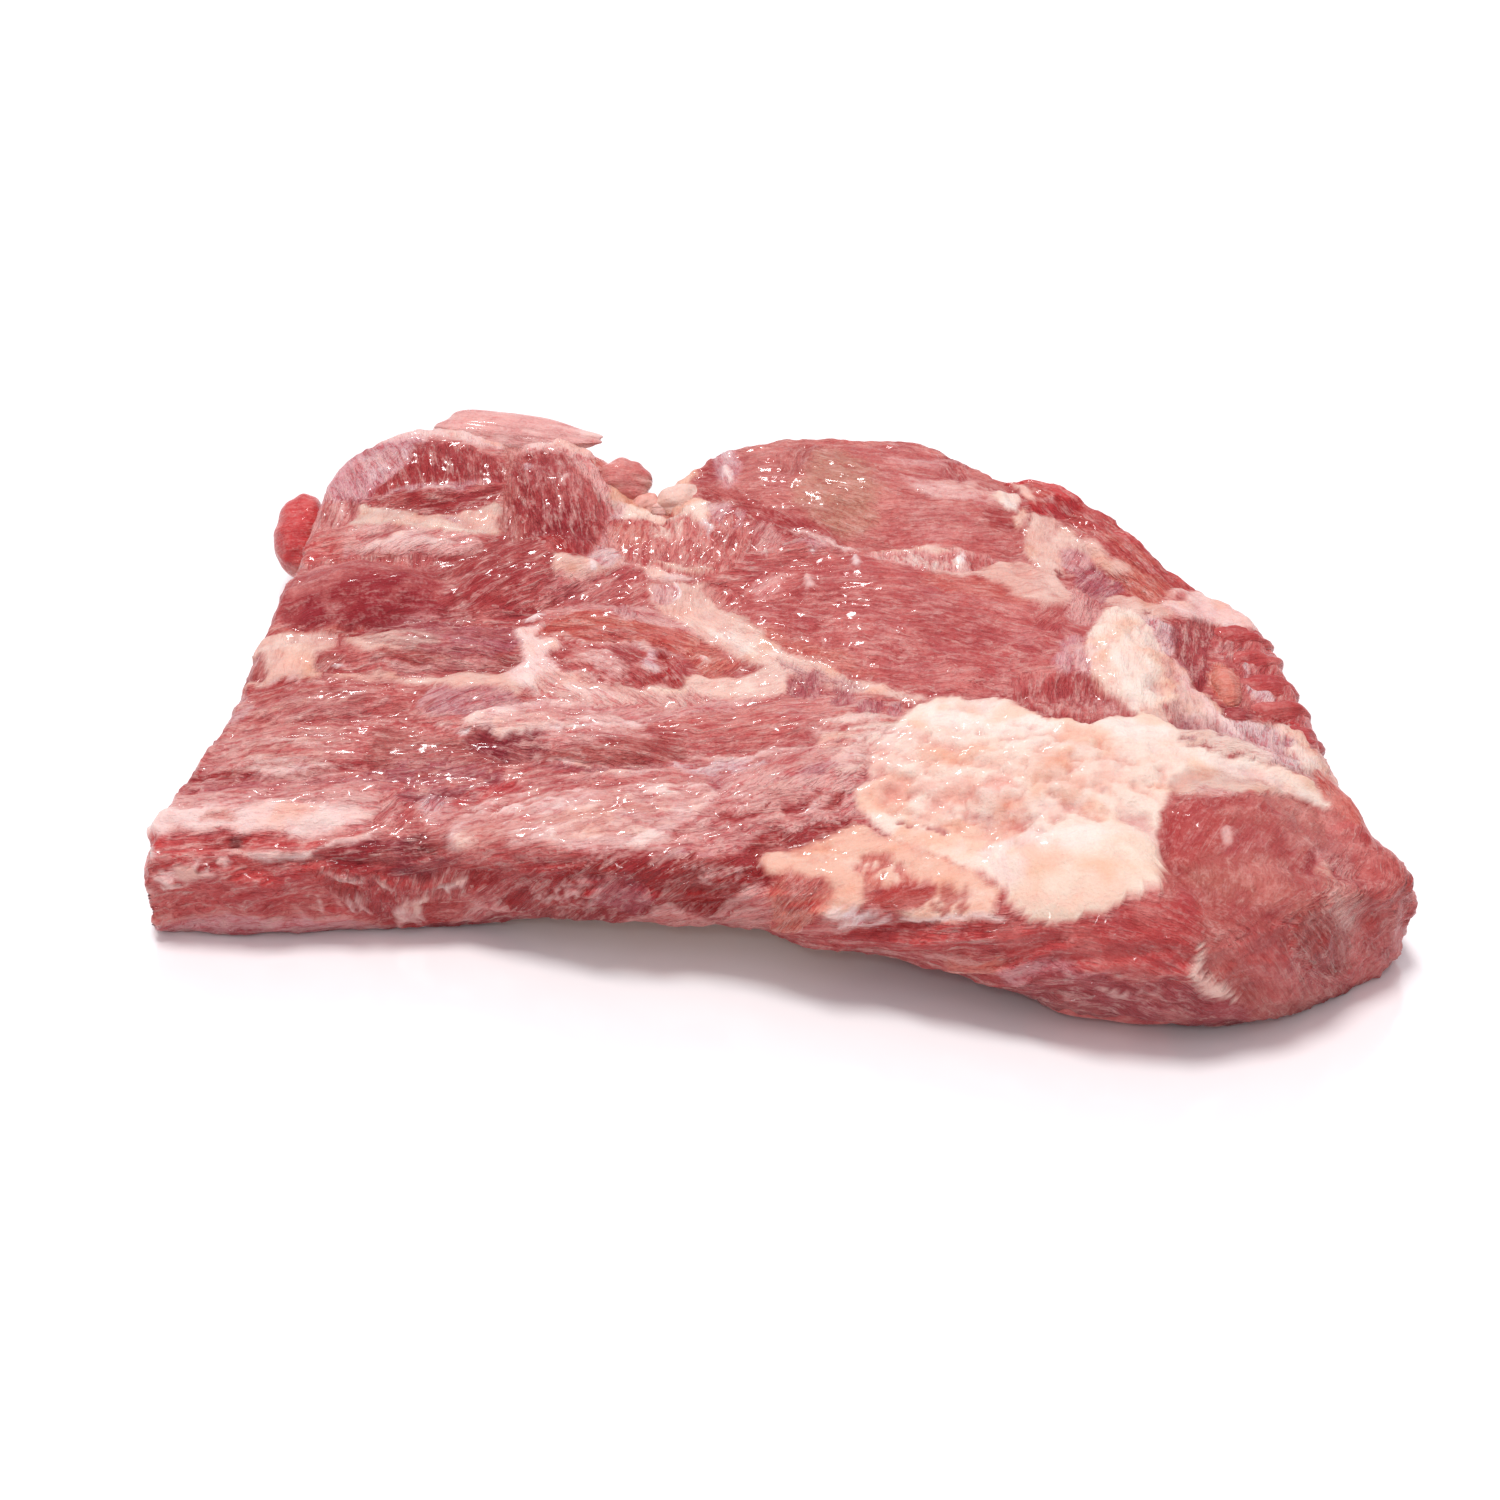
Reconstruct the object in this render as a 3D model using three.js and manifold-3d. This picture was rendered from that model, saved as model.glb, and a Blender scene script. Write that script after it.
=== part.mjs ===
// A raw, boneless pork shoulder, opened out into one flat slab and laid with its
// fat and seams upwards. Millimetres, +Z up. The long side runs along X, the near
// side looks towards -Y, and the slab rests on the plane z = 0. The origin is under
// the middle of its outline.
//
// The whole slab is one blanket: a grid of columns and rows laid over a Coons patch
// between four edge courses. The outer rings of the grid run down the rounded side,
// and a coarser grid closes the underside. Each muscle is a mound on the upper face,
// and where two mounds meet the taller one wins, which leaves the seam between them.
import * as THREE from 'three';
import { mergeVertices } from 'three/addons/utils/BufferGeometryUtils.js';
import Module from 'manifold-3d';

// ---------- Grid ----------
const COLUMNS = 63;
const ROWS = 42;
const SIDE_RINGS = 6;
const UNDERSIDE_STEP = 3;

// ---------- Size of the slab ----------
const SPAN = 365; // left to right, used to turn an edge's reach into a share of the grid
const DEPTH = 225; // near to far, used in the same way
const CORNER_PULL = 0.025; // how far each corner of the outline is drawn in
const SIDE_BULGE = 0.55; // below 1 the side is steeper than a half round
const SIDE_SHOULDER = 0.8; // the same for its height
const FOOT_FADE = 0.42; // share of the slab over which a lifted edge comes down to rest
const DRAWING_CENTRE = [7.5, 28]; // middle of the outline in the drawing's own coordinates

// Edge courses: x, y, height of the upper edge, lift of the lower edge, reach of the
// rounded side. Each runs left to right or near to far.
const NEAR_EDGE = [
  [-181, -61, 28, 0, 8],
  [-148, -60, 30, 0, 8],
  [-112, -59, 32, 0, 8],
  [-88, -58, 33, 1, 8],
  [-66, -63, 36, 9, 8],
  [-44, -69, 38, 13, 8],
  [-6, -73, 39, 14, 9],
  [15, -82, 40, 14, 10],
  [44, -88, 41, 12, 14],
  [72, -97, 42, 8, 20],
  [90, -103, 43, 3, 26],
  [123, -108, 43, 0, 30],
  [152, -101, 39, 0, 26],
  [170, -88, 33, 0, 22],
  [185, -78, 27, 0, 18],
];
const FAR_EDGE = [
  [-132, 143, 40, 0, 9],
  [-103, 149, 42, 0, 9],
  [-72, 149, 42, 2, 9],
  [-52, 142, 40, 3, 8],
  [-40, 127, 37, 2, 7],
  [-32, 112, 35, 0, 7],
  [-25, 126, 37, 0, 8],
  [-13, 140, 40, 0, 9],
  [6, 145, 42, 0, 10],
  [26, 145, 42, 0, 10],
  [50, 141, 42, 2, 9],
  [61, 136, 41, 3, 9],
  [70, 125, 40, 2, 8],
  [90, 121, 40, 0, 9],
];
const LEFT_EDGE = [
  [-181, -61, 28, 0, 8],
  [-178, -44, 29, 0, 8],
  [-171, -26, 31, 0, 8],
  [-161, 0, 33, 1, 8],
  [-155, 24, 35, 1, 8],
  [-152, 46, 36, 0, 8],
  [-147, 64, 37, 0, 8],
  [-144, 90, 38, 0, 8],
  [-140, 122, 39, 0, 8],
  [-132, 143, 40, 0, 9],
];
const RIGHT_EDGE = [
  [185, -78, 27, 0, 18],
  [194, -65, 23, 0, 14],
  [184, -47, 27, 0, 12],
  [177, -32, 32, 1, 10],
  [172, -8, 33, 2, 9],
  [168, 18, 33, 2, 9],
  [163, 40, 34, 0, 9],
  [154, 57, 36, 0, 9],
  [135, 70, 38, 0, 9],
  [122, 90, 40, 0, 9],
  [106, 110, 41, 0, 9],
  [90, 121, 40, 0, 9],
];

// Muscles and pads of fat: middle, half length and half width, turn of the long axis
// in degrees, and rise of the crown above the slab.
const MUSCLES = {
  farLeftBlock: { at: [-104, 127], half: [33, 25], turn: 0, rise: 6 },
  notchLobe: { at: [-60, 111], half: [33, 18], turn: 96, rise: 6 },
  striatedRidge: { at: [-110, 90], half: [29, 10], turn: -4, rise: 4 },
  ovalTongue: { at: [-120, 60], half: [31, 18], turn: -4, rise: 9 },
  redLobe: { at: [-72, 68], half: [36, 16], turn: 32, rise: 6 },
  farDome: { at: [36, 108], half: [60, 37], turn: -6, rise: 6 },
  webbedRed: { at: [-18, 88], half: [25, 25], turn: 0, rise: 4 },
  mainMuscle: { at: [54, 38], half: [60, 38], turn: -12, rise: 7 },
  orangeLobe: { at: [-41, 41], half: [26, 12], turn: -10, rise: 5 },
  stripedRed: { at: [-38, 22], half: [25, 10], turn: -24, rise: 4 },
  brownLobe: { at: [-99, 34], half: [34, 12], turn: 2, rise: 5 },
  paleLeft: { at: [-138, 26], half: [16, 12], turn: 0, rise: 4 },
  fibrousLeft: { at: [-130, 9], half: [28, 10], turn: 6, rise: 4 },
  purpleSmooth: { at: [-83, 10], half: [22, 11], turn: 12, rise: 4 },
  streakedLeft: { at: [-136, -14], half: [33, 14], turn: 8, rise: 4 },
  paleRidge: { at: [-66, -4], half: [30, 8], turn: -10, rise: 4 },
  mutedLobe: { at: [-48, -17], half: [30, 10], turn: -14, rise: 4 },
  pinkPlane: { at: [12, -9], half: [46, 13], turn: 4, rise: 4 },
  paleShoulder: { at: [-140, -38], half: [38, 13], turn: 2, rise: 4 },
  paleFibres: { at: [-40, -48], half: [50, 17], turn: 3, rise: 5 },
  purpleStreaks: { at: [8, -42], half: [34, 18], turn: 38, rise: 5 },
  creamField: { at: [93, -30], half: [55, 28], turn: -6, rise: 5 },
  smoothPad: { at: [94, -79], half: [28, 26], turn: 30, rise: 7 },
  fatColumn: { at: [114, 22], half: [30, 13], turn: 92, rise: 5 },
  rimLobe: { at: [117, 80], half: [32, 12], turn: 124, rise: 6 },
  vividLobe: { at: [98, 107], half: [17, 12], turn: -40, rise: 6 },
  fatRidge: { at: [146, -26], half: [30, 12], turn: -14, rise: 6 },
  roundMuscle: { at: [143, -68], half: [32, 36], turn: 10, rise: 8 },
  fanLobe: { at: [174, -74], half: [18, 30], turn: 8, rise: 5 },
};

// Lobes that stand out of the side: middle, half sizes and turns about Z and then X.
const LOBES = [
  { at: [-147, 119, 21], half: [9, 17, 11], turn: 4, tip: 0 }, // red flap at the left
  { at: [-84, 149, 39], half: [26, 14, 6], turn: -10, tip: 6 }, // pale flap at the far side
  { at: [-39, 121, 36], half: [9, 9, 8], turn: 0, tip: 0 }, // knob beside the notch
  { at: [106, -90, 10.5], half: [30, 13, 10], turn: -4, tip: 0 }, // low roll at the near side
];
const LOBE_SEGMENTS = [16, 10];

// Curled rolls of red muscle along the right edge, near to far.
const CURLS = { count: 5, first: [160, -6, 28], last: [150, 44, 29], half: [13, 7.5, 9], turn: 16 };

// ---------- Courses and the patch between them ----------
const LENGTH_SAMPLES = 240;
const mix = (a, b, share) => a + (b - a) * share;
const mixEach = (a, b, share) => a.map((value, i) => mix(value, b[i], share));

// Catmull-Rom curve through the points, with one mirrored point past each end.
function curveAt(points, share) {
  const last = points.length - 1;
  const start = Math.min(Math.floor(share * last), last - 1);
  const f = share * last - start;
  const before = start > 0 ? points[start - 1] : mixEach(points[1], points[0], 2);
  const after = start + 2 <= last ? points[start + 2] : mixEach(points[last - 1], points[last], 2);
  const [a, b] = [points[start], points[start + 1]];
  return a.map((_, i) => {
    const [p, q, r, s] = [before[i], a[i], b[i], after[i]];
    const slope = (r - p) / 2;
    const bend = p - 2.5 * q + 2 * r - s / 2;
    const twist = (s - p) / 2 + 1.5 * (q - r);
    return q + f * (slope + f * (bend + f * twist));
  });
}

// The same curve, with the parameter even along its length in plan.
function courseThrough(points) {
  const samples = [];
  const lengths = [0];
  for (let i = 0; i <= LENGTH_SAMPLES; i += 1) {
    samples.push(curveAt(points, i / LENGTH_SAMPLES));
    if (i > 0) {
      const [a, b] = [samples[i - 1], samples[i]];
      lengths.push(lengths[i - 1] + Math.hypot(b[0] - a[0], b[1] - a[1]));
    }
  }
  return (share) => {
    const wanted = share * lengths[LENGTH_SAMPLES];
    let i = 1;
    while (i < LENGTH_SAMPLES && lengths[i] < wanted) i += 1;
    const part = (wanted - lengths[i - 1]) / (lengths[i] - lengths[i - 1]);
    return mixEach(samples[i - 1], samples[i], part);
  };
}

const near = courseThrough(NEAR_EDGE);
const far = courseThrough(FAR_EDGE);
const left = courseThrough(LEFT_EDGE);
const right = courseThrough(RIGHT_EDGE);

// Coons patch: the near-far blend plus the left-right blend less the corners' blend.
function patchAt(s, t) {
  const [n, f, l, r] = [near(s), far(s), left(t), right(t)];
  const [nl, nr, fl, fr] = [near(0), near(1), far(0), far(1)];
  const value = (i) => {
    const corners = mix(mix(nl[i], nr[i], s), mix(fl[i], fr[i], s), t);
    return mix(n[i], f[i], t) + mix(l[i], r[i], s) - corners;
  };
  return { x: value(0), y: value(1), top: value(2) };
}

// Lift of the underside: each edge's own lift, fading to nothing inside the slab.
function footAt(s, t) {
  const fade = (share) => Math.max(0, 1 - share / FOOT_FADE) ** 2;
  const alongNearAndFar = near(s)[3] * fade(t) + far(s)[3] * fade(1 - t);
  const alongTheEnds = left(t)[3] * fade(s) + right(t)[3] * fade(1 - s);
  return Math.max(0, alongNearAndFar + alongTheEnds);
}

// ---------- Relief ----------
function moundAt({ at, half, turn, rise }, x, y) {
  const angle = THREE.MathUtils.degToRad(turn);
  const along = (x - at[0]) * Math.cos(angle) + (y - at[1]) * Math.sin(angle);
  const across = (y - at[1]) * Math.cos(angle) - (x - at[0]) * Math.sin(angle);
  return rise * (1 - (along / half[0]) ** 2 - (across / half[1]) ** 2);
}

const reliefAt = (x, y) => Math.max(0, ...Object.values(MUSCLES).map((muscle) => moundAt(muscle, x, y)));

// ---------- Blanket ----------
// Draws the corners of the unit square in, so that the outline has no sharp corner.
function roundCorners(s, t) {
  const [u, v] = [2 * s - 1, 2 * t - 1];
  return [(1 + u * (1 - CORNER_PULL * v ** 8)) / 2, (1 + v * (1 - CORNER_PULL * u ** 8)) / 2];
}

// A point of the upper face, the side or the edge of the underside. (s, t) is the place
// on the ring, and angle runs from 0 at the upper edge to pi at the lower edge.
function blanketPoint(s, t, angle) {
  const innerS = mix(left(t)[4] / SPAN, 1 - right(t)[4] / SPAN, s);
  const innerT = mix(near(s)[4] / DEPTH, 1 - far(s)[4] / DEPTH, t);
  const inner = patchAt(...roundCorners(innerS, innerT));
  const outwards = Math.sin(angle) ** SIDE_BULGE;
  const outline = patchAt(...roundCorners(mix(innerS, s, outwards), mix(innerT, t, outwards)));
  const cosine = Math.cos(angle);
  const level = (1 + Math.sign(cosine) * Math.abs(cosine) ** SIDE_SHOULDER) / 2;
  const foot = footAt(s, t);
  const top = inner.top + reliefAt(inner.x, inner.y);
  return [outline.x, outline.y, mix(foot, top, level)];
}

const ringOf = (i, j) => Math.min(i, j, COLUMNS - i, ROWS - j);

function upperPoint(i, j) {
  const ring = Math.min(ringOf(i, j), SIDE_RINGS);
  const angle = (Math.PI * (SIDE_RINGS - ring)) / SIDE_RINGS;
  return blanketPoint((i - ring) / (COLUMNS - 2 * ring), (j - ring) / (ROWS - 2 * ring), angle);
}

function undersidePoint(i, j) {
  const [x, y] = blanketPoint(i / COLUMNS, j / ROWS, Math.PI);
  return [x, y, footAt(i / COLUMNS, j / ROWS)];
}

// Works each grid point out once, however many cells share it.
function remembered(pointAt) {
  const known = new Map();
  return (i, j) => {
    const key = i * (2 * ROWS + 1) + j;
    if (!known.has(key)) known.set(key, pointAt(i, j));
    return known.get(key);
  };
}

function slabGeometry() {
  const positions = [];
  const triangle = (...corners) => positions.push(...corners.flat());
  const point = remembered(upperPoint);
  for (let i = 0; i < COLUMNS; i += 1) {
    for (let j = 0; j < ROWS; j += 1) {
      const cell = [point(i, j), point(i + 1, j), point(i + 1, j + 1), point(i, j + 1)];
      // The cut runs towards the grid's nearest corner, so that it follows the corner's fold.
      const [a, b, c, d] = (i < COLUMNS / 2) === (j < ROWS / 2) ? cell : [...cell.slice(1), cell[0]];
      triangle(a, b, c);
      triangle(a, c, d);
    }
  }
  for (let i = 0; i < COLUMNS; i += UNDERSIDE_STEP) {
    for (let j = 0; j < ROWS; j += UNDERSIDE_STEP) {
      undersideCell(i, j).forEach((corners) => triangle(...corners));
    }
  }
  return new THREE.BufferGeometry().setAttribute('position', new THREE.Float32BufferAttribute(positions, 3));
}

// One large cell of the underside, as a fan about its middle. A side that lies on the
// edge keeps the edge's finer points.
function undersideCell(i, j) {
  const size = UNDERSIDE_STEP;
  const loop = [];
  const addSide = (fromI, fromJ, toI, toJ) => {
    const onEdge = (fromI === toI && (fromI === 0 || fromI === COLUMNS))
      || (fromJ === toJ && (fromJ === 0 || fromJ === ROWS));
    const steps = onEdge ? size : 1;
    for (let k = 0; k < steps; k += 1) {
      loop.push(undersidePoint(mix(fromI, toI, k / steps), mix(fromJ, toJ, k / steps)));
    }
  };
  addSide(i, j, i, j + size);
  addSide(i, j + size, i + size, j + size);
  addSide(i + size, j + size, i + size, j);
  addSide(i + size, j, i, j);
  const middle = undersidePoint(i + size / 2, j + size / 2);
  return loop.map((corner, k) => [middle, corner, loop[(k + 1) % loop.length]]);
}

// ---------- Lobes ----------
function lobeGeometry({ at, half, turn, tip }) {
  const place = new THREE.Euler(THREE.MathUtils.degToRad(tip), 0, THREE.MathUtils.degToRad(turn), 'ZXY');
  return new THREE.SphereGeometry(1, ...LOBE_SEGMENTS)
    .scale(...half)
    .applyMatrix4(new THREE.Matrix4().makeRotationFromEuler(place))
    .translate(...at);
}

function curlGeometries() {
  const { count, first, last, half, turn } = CURLS;
  return Array.from({ length: count }, (_, k) =>
    lobeGeometry({ at: mixEach(first, last, k / (count - 1)), half, turn, tip: 0 }));
}

// ---------- Joining ----------
const wasm = await Module();
wasm.setup();

function toSolid(geometry) {
  const bare = geometry.clone();
  bare.deleteAttribute('normal');
  bare.deleteAttribute('uv');
  const merged = mergeVertices(bare, 1e-3);
  return new wasm.Manifold(new wasm.Mesh({
    numProp: 3,
    vertProperties: new Float32Array(merged.attributes.position.array),
    triVerts: new Uint32Array(merged.index.array),
  }));
}

function toGeometry(solid) {
  const { vertProperties, triVerts } = solid.getMesh();
  const geometry = new THREE.BufferGeometry();
  geometry.setAttribute('position', new THREE.BufferAttribute(vertProperties, 3));
  geometry.setIndex(new THREE.BufferAttribute(triVerts, 1));
  return geometry;
}

let meat = toSolid(slabGeometry());
for (const lobe of [...LOBES.map(lobeGeometry), ...curlGeometries()]) {
  meat = meat.add(toSolid(lobe));
}

const rawMeat = new THREE.MeshStandardMaterial({ color: 0xb85a5a, roughness: 0.4, metalness: 0 });
const shoulder = new THREE.Mesh(toGeometry(meat), rawMeat);
shoulder.name = 'pork_shoulder';
shoulder.position.set(-DRAWING_CENTRE[0], -DRAWING_CENTRE[1], 0);

const group = new THREE.Group();
group.add(shoulder);

export default group;
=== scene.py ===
"""A raw, boneless pork shoulder, opened out into one flat slab: the dressed model.

Everything is drawn in the drawing's own millimetres and then moved by DRAWING_CENTRE, so
that the frame's origin lies under the middle of the slab. The slab is a fine copy of the
frame's solid: the same edge courses and muscles, then folds, lobules, ledges and ripples
in its surface, and painted tones on it. The lobes at its edge are pieces of their own.
"""
import math

import bmesh
import bpy
import numpy as np
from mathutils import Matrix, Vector


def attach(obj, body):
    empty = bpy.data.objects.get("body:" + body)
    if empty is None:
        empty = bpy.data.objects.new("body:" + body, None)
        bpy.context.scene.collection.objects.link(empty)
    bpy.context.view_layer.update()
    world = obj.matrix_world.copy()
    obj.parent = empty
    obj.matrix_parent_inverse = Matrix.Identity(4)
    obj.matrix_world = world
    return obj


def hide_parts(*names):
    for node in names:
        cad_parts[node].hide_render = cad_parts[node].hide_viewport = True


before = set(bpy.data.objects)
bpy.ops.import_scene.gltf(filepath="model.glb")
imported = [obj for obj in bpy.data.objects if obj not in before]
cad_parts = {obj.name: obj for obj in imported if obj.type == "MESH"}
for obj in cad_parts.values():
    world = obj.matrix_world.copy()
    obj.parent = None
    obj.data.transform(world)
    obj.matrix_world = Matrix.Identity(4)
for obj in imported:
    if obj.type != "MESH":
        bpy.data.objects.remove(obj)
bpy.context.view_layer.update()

NODE = "pork_shoulder"
BODY = "root"
MM = 0.001

# ---------- Size of the slab, as in the solid ----------
SPAN = 365.0
DEPTH = 225.0
CORNER_PULL = 0.025
SIDE_BULGE = 0.55
SIDE_SHOULDER = 0.8
FOOT_FADE = 0.42
DRAWING_CENTRE = (7.5, 28.0)

# Edge courses: x, y, height of the upper edge, lift of the lower edge, reach of the side.
NEAR_EDGE = [
    (-181, -61, 28, 0, 8),
    (-148, -60, 30, 0, 8),
    (-112, -59, 32, 0, 8),
    (-88, -58, 33, 1, 8),
    (-66, -63, 36, 9, 8),
    (-44, -69, 38, 13, 8),
    (-6, -73, 39, 14, 9),
    (15, -82, 40, 14, 10),
    (44, -88, 41, 12, 14),
    (72, -97, 42, 8, 20),
    (90, -103, 43, 3, 26),
    (123, -108, 43, 0, 30),
    (152, -101, 39, 0, 26),
    (170, -88, 33, 0, 22),
    (185, -78, 27, 0, 18),
]
FAR_EDGE = [
    (-132, 143, 40, 0, 9),
    (-103, 149, 42, 0, 9),
    (-72, 149, 42, 2, 9),
    (-52, 142, 40, 3, 8),
    (-40, 127, 37, 2, 7),
    (-32, 112, 35, 0, 7),
    (-25, 126, 37, 0, 8),
    (-13, 140, 40, 0, 9),
    (6, 145, 42, 0, 10),
    (26, 145, 42, 0, 10),
    (50, 141, 42, 2, 9),
    (61, 136, 41, 3, 9),
    (70, 125, 40, 2, 8),
    (90, 121, 40, 0, 9),
]
LEFT_EDGE = [
    (-181, -61, 28, 0, 8),
    (-178, -44, 29, 0, 8),
    (-171, -26, 31, 0, 8),
    (-161, 0, 33, 1, 8),
    (-155, 24, 35, 1, 8),
    (-152, 46, 36, 0, 8),
    (-147, 64, 37, 0, 8),
    (-144, 90, 38, 0, 8),
    (-140, 122, 39, 0, 8),
    (-132, 143, 40, 0, 9),
]
RIGHT_EDGE = [
    (185, -78, 27, 0, 18),
    (194, -65, 23, 0, 14),
    (184, -47, 27, 0, 12),
    (177, -32, 32, 1, 10),
    (172, -8, 33, 2, 9),
    (168, 18, 33, 2, 9),
    (163, 40, 34, 0, 9),
    (154, 57, 36, 0, 9),
    (135, 70, 38, 0, 9),
    (122, 90, 40, 0, 9),
    (106, 110, 41, 0, 9),
    (90, 121, 40, 0, 9),
]

# Muscles and pads of fat, as in the solid: middle, half sizes, turn in degrees, rise.
MUSCLES = {
    "far_left_block": ((-104, 127), (33, 25), 0, 6),
    "notch_lobe": ((-60, 111), (33, 18), 96, 6),
    "striated_ridge": ((-110, 90), (29, 10), -4, 4),
    "oval_tongue": ((-120, 60), (31, 18), -4, 9),
    "red_lobe": ((-72, 68), (36, 16), 32, 6),
    "far_dome": ((36, 108), (60, 37), -6, 6),
    "webbed_red": ((-18, 88), (25, 25), 0, 4),
    "main_muscle": ((54, 38), (60, 38), -12, 7),
    "orange_lobe": ((-41, 41), (26, 12), -10, 5),
    "striped_red": ((-38, 22), (25, 10), -24, 4),
    "brown_lobe": ((-99, 34), (34, 12), 2, 5),
    "pale_left": ((-138, 26), (16, 12), 0, 4),
    "fibrous_left": ((-130, 9), (28, 10), 6, 4),
    "purple_smooth": ((-83, 10), (22, 11), 12, 4),
    "streaked_left": ((-136, -14), (33, 14), 8, 4),
    "pale_ridge": ((-66, -4), (30, 8), -10, 4),
    "muted_lobe": ((-48, -17), (30, 10), -14, 4),
    "pink_plane": ((12, -9), (46, 13), 4, 4),
    "pale_shoulder": ((-140, -38), (38, 13), 2, 4),
    "pale_fibres": ((-40, -48), (50, 17), 3, 5),
    "purple_streaks": ((8, -42), (34, 18), 38, 5),
    "cream_field": ((93, -30), (55, 28), -6, 5),
    "smooth_pad": ((94, -79), (28, 26), 30, 7),
    "fat_column": ((114, 22), (30, 13), 92, 5),
    "rim_lobe": ((117, 80), (32, 12), 124, 6),
    "vivid_lobe": ((98, 107), (17, 12), -40, 6),
    "fat_ridge": ((146, -26), (30, 12), -14, 6),
    "round_muscle": ((143, -68), (32, 36), 10, 8),
    "fan_lobe": ((174, -74), (18, 30), 8, 5),
}

# ---------- Tones, as they look in daylight, in sRGB ----------
TONES = {
    "muscle": (208, 112, 108),
    "muscle_pale": (226, 150, 143),
    "muscle_red": (198, 88, 86),
    "muscle_deep": (178, 70, 70),
    "muscle_dark": (160, 54, 62),
    "muscle_brown": (182, 92, 86),
    "muscle_purple": (172, 78, 82),
    "blood": (182, 40, 50),
    "blood_dark": (166, 36, 50),
    "wine": (120, 20, 42),
    "vivid": (216, 82, 82),
    "orange_red": (212, 110, 98),
    "brown_red": (186, 100, 94),
    "dome_red": (210, 126, 119),
    "tan": (204, 142, 124),
    "tan_pink": (202, 128, 118),
    "olive_brown": (190, 126, 106),
    "purple_dark": (150, 52, 66),
    "purple": (190, 110, 118),
    "purple_pale": (217, 158, 160),
    "purple_grey": (192, 142, 144),
    "violet_pink": (226, 168, 172),
    "violet_white": (242, 214, 214),
    "pale_pink": (240, 182, 175),
    "salmon_pink": (224, 140, 132),
    "peach_pink": (245, 198, 186),
    "pink_white": (251, 218, 211),
    "membrane": (235, 190, 176),
    "cream_pink": (243, 205, 191),
    "cream": (252, 228, 212),
    "cream_white": (253, 238, 226),
    "white": (255, 244, 242),
    "fat": (248, 220, 200),
    "peach": (243, 192, 170),
    "salmon": (224, 138, 120),
    "salmon_light": (240, 174, 160),
    "silver": (211, 166, 156),
    "grey_cream": (228, 196, 182),
}
# Tones that count as fat, which folds more and shows less of its fibres.
FAT_TONES = {
    "cream", "cream_white", "cream_pink", "fat", "peach", "membrane", "grey_cream", "pink_white", "white",
    "salmon_light",
}
WHITE = 255.0
# What the wet surface adds to a tone, and what the studio's light multiplies it by.
SHEEN = 0.035
LIGHT = (1.28, 1.25, 1.24)
# Limits of the paint, in linear light.
DARKEST = 0.004
BRIGHTEST = 0.9

# ---------- Grid ----------
COLUMNS = 360
ROWS = 237
SIDE_RINGS = 38
UNDERSIDE_STEP = 3
LENGTH_SAMPLES = 240


# ---------- Small mathematics ----------
def mix(a, b, share):
    """The value at that share of the way from a to b."""
    return a + (b - a) * share


def smooth_step(low, high, value):
    """0 below low, 1 above high, and a smooth S between them."""
    share = np.clip((value - low) / (high - low), 0, 1)
    return share * share * (3 - 2 * share)


def turned(x, y, at, turn):
    """Coordinates along and across an axis turned by that many degrees about a point."""
    angle = math.radians(turn)
    dx, dy = x - at[0], y - at[1]
    return dx * math.cos(angle) + dy * math.sin(angle), dy * math.cos(angle) - dx * math.sin(angle)


LATTICE = 256


def gradient_noise(x, y, seed):
    """Perlin noise: a random slope at each lattice point, blended with a smooth S."""
    angles = np.random.default_rng(seed).uniform(0, 2 * math.pi, (LATTICE, LATTICE))
    column, row = np.floor(x).astype(int), np.floor(y).astype(int)
    fx, fy = x - column, y - row

    def corner(right, up):
        angle = angles[(column + right) % LATTICE, (row + up) % LATTICE]
        return np.cos(angle) * (fx - right) + np.sin(angle) * (fy - up)

    sx = fx * fx * fx * (fx * (fx * 6 - 15) + 10)
    sy = fy * fy * fy * (fy * (fy * 6 - 15) + 10)
    lower = mix(corner(0, 0), corner(1, 0), sx)
    upper = mix(corner(0, 1), corner(1, 1), sx)
    return mix(lower, upper, sy) * 1.5


def layered_noise(x, y, size, seed, layers=3):
    """Gradient noise summed over layers, each half as large and half as strong."""
    total = np.zeros_like(x)
    for layer in range(layers):
        scale = 2**layer / size
        total += gradient_noise(x * scale, y * scale, seed + layer) / 2**layer
    return total


def pebbles(x, y, size, seed):
    """Rounded cells: 1 at the middle of each random cell, falling to 0 where two meet."""
    random = np.random.default_rng(seed)
    jitter_x = random.uniform(0.1, 0.9, (LATTICE, LATTICE))
    jitter_y = random.uniform(0.1, 0.9, (LATTICE, LATTICE))
    px, py = x / size, y / size
    column, row = np.floor(px).astype(int), np.floor(py).astype(int)
    nearest = np.full(x.shape, 9.0)
    second = np.full(x.shape, 9.0)
    for right in (-1, 0, 1):
        for up in (-1, 0, 1):
            i, j = (column + right) % LATTICE, (row + up) % LATTICE
            reach = np.hypot(column + right + jitter_x[i, j] - px, row + up + jitter_y[i, j] - py)
            second = np.minimum(second, np.maximum(nearest, reach))
            nearest = np.minimum(nearest, reach)
    return 1 - np.exp(-2.2 * (second - nearest))


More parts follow.
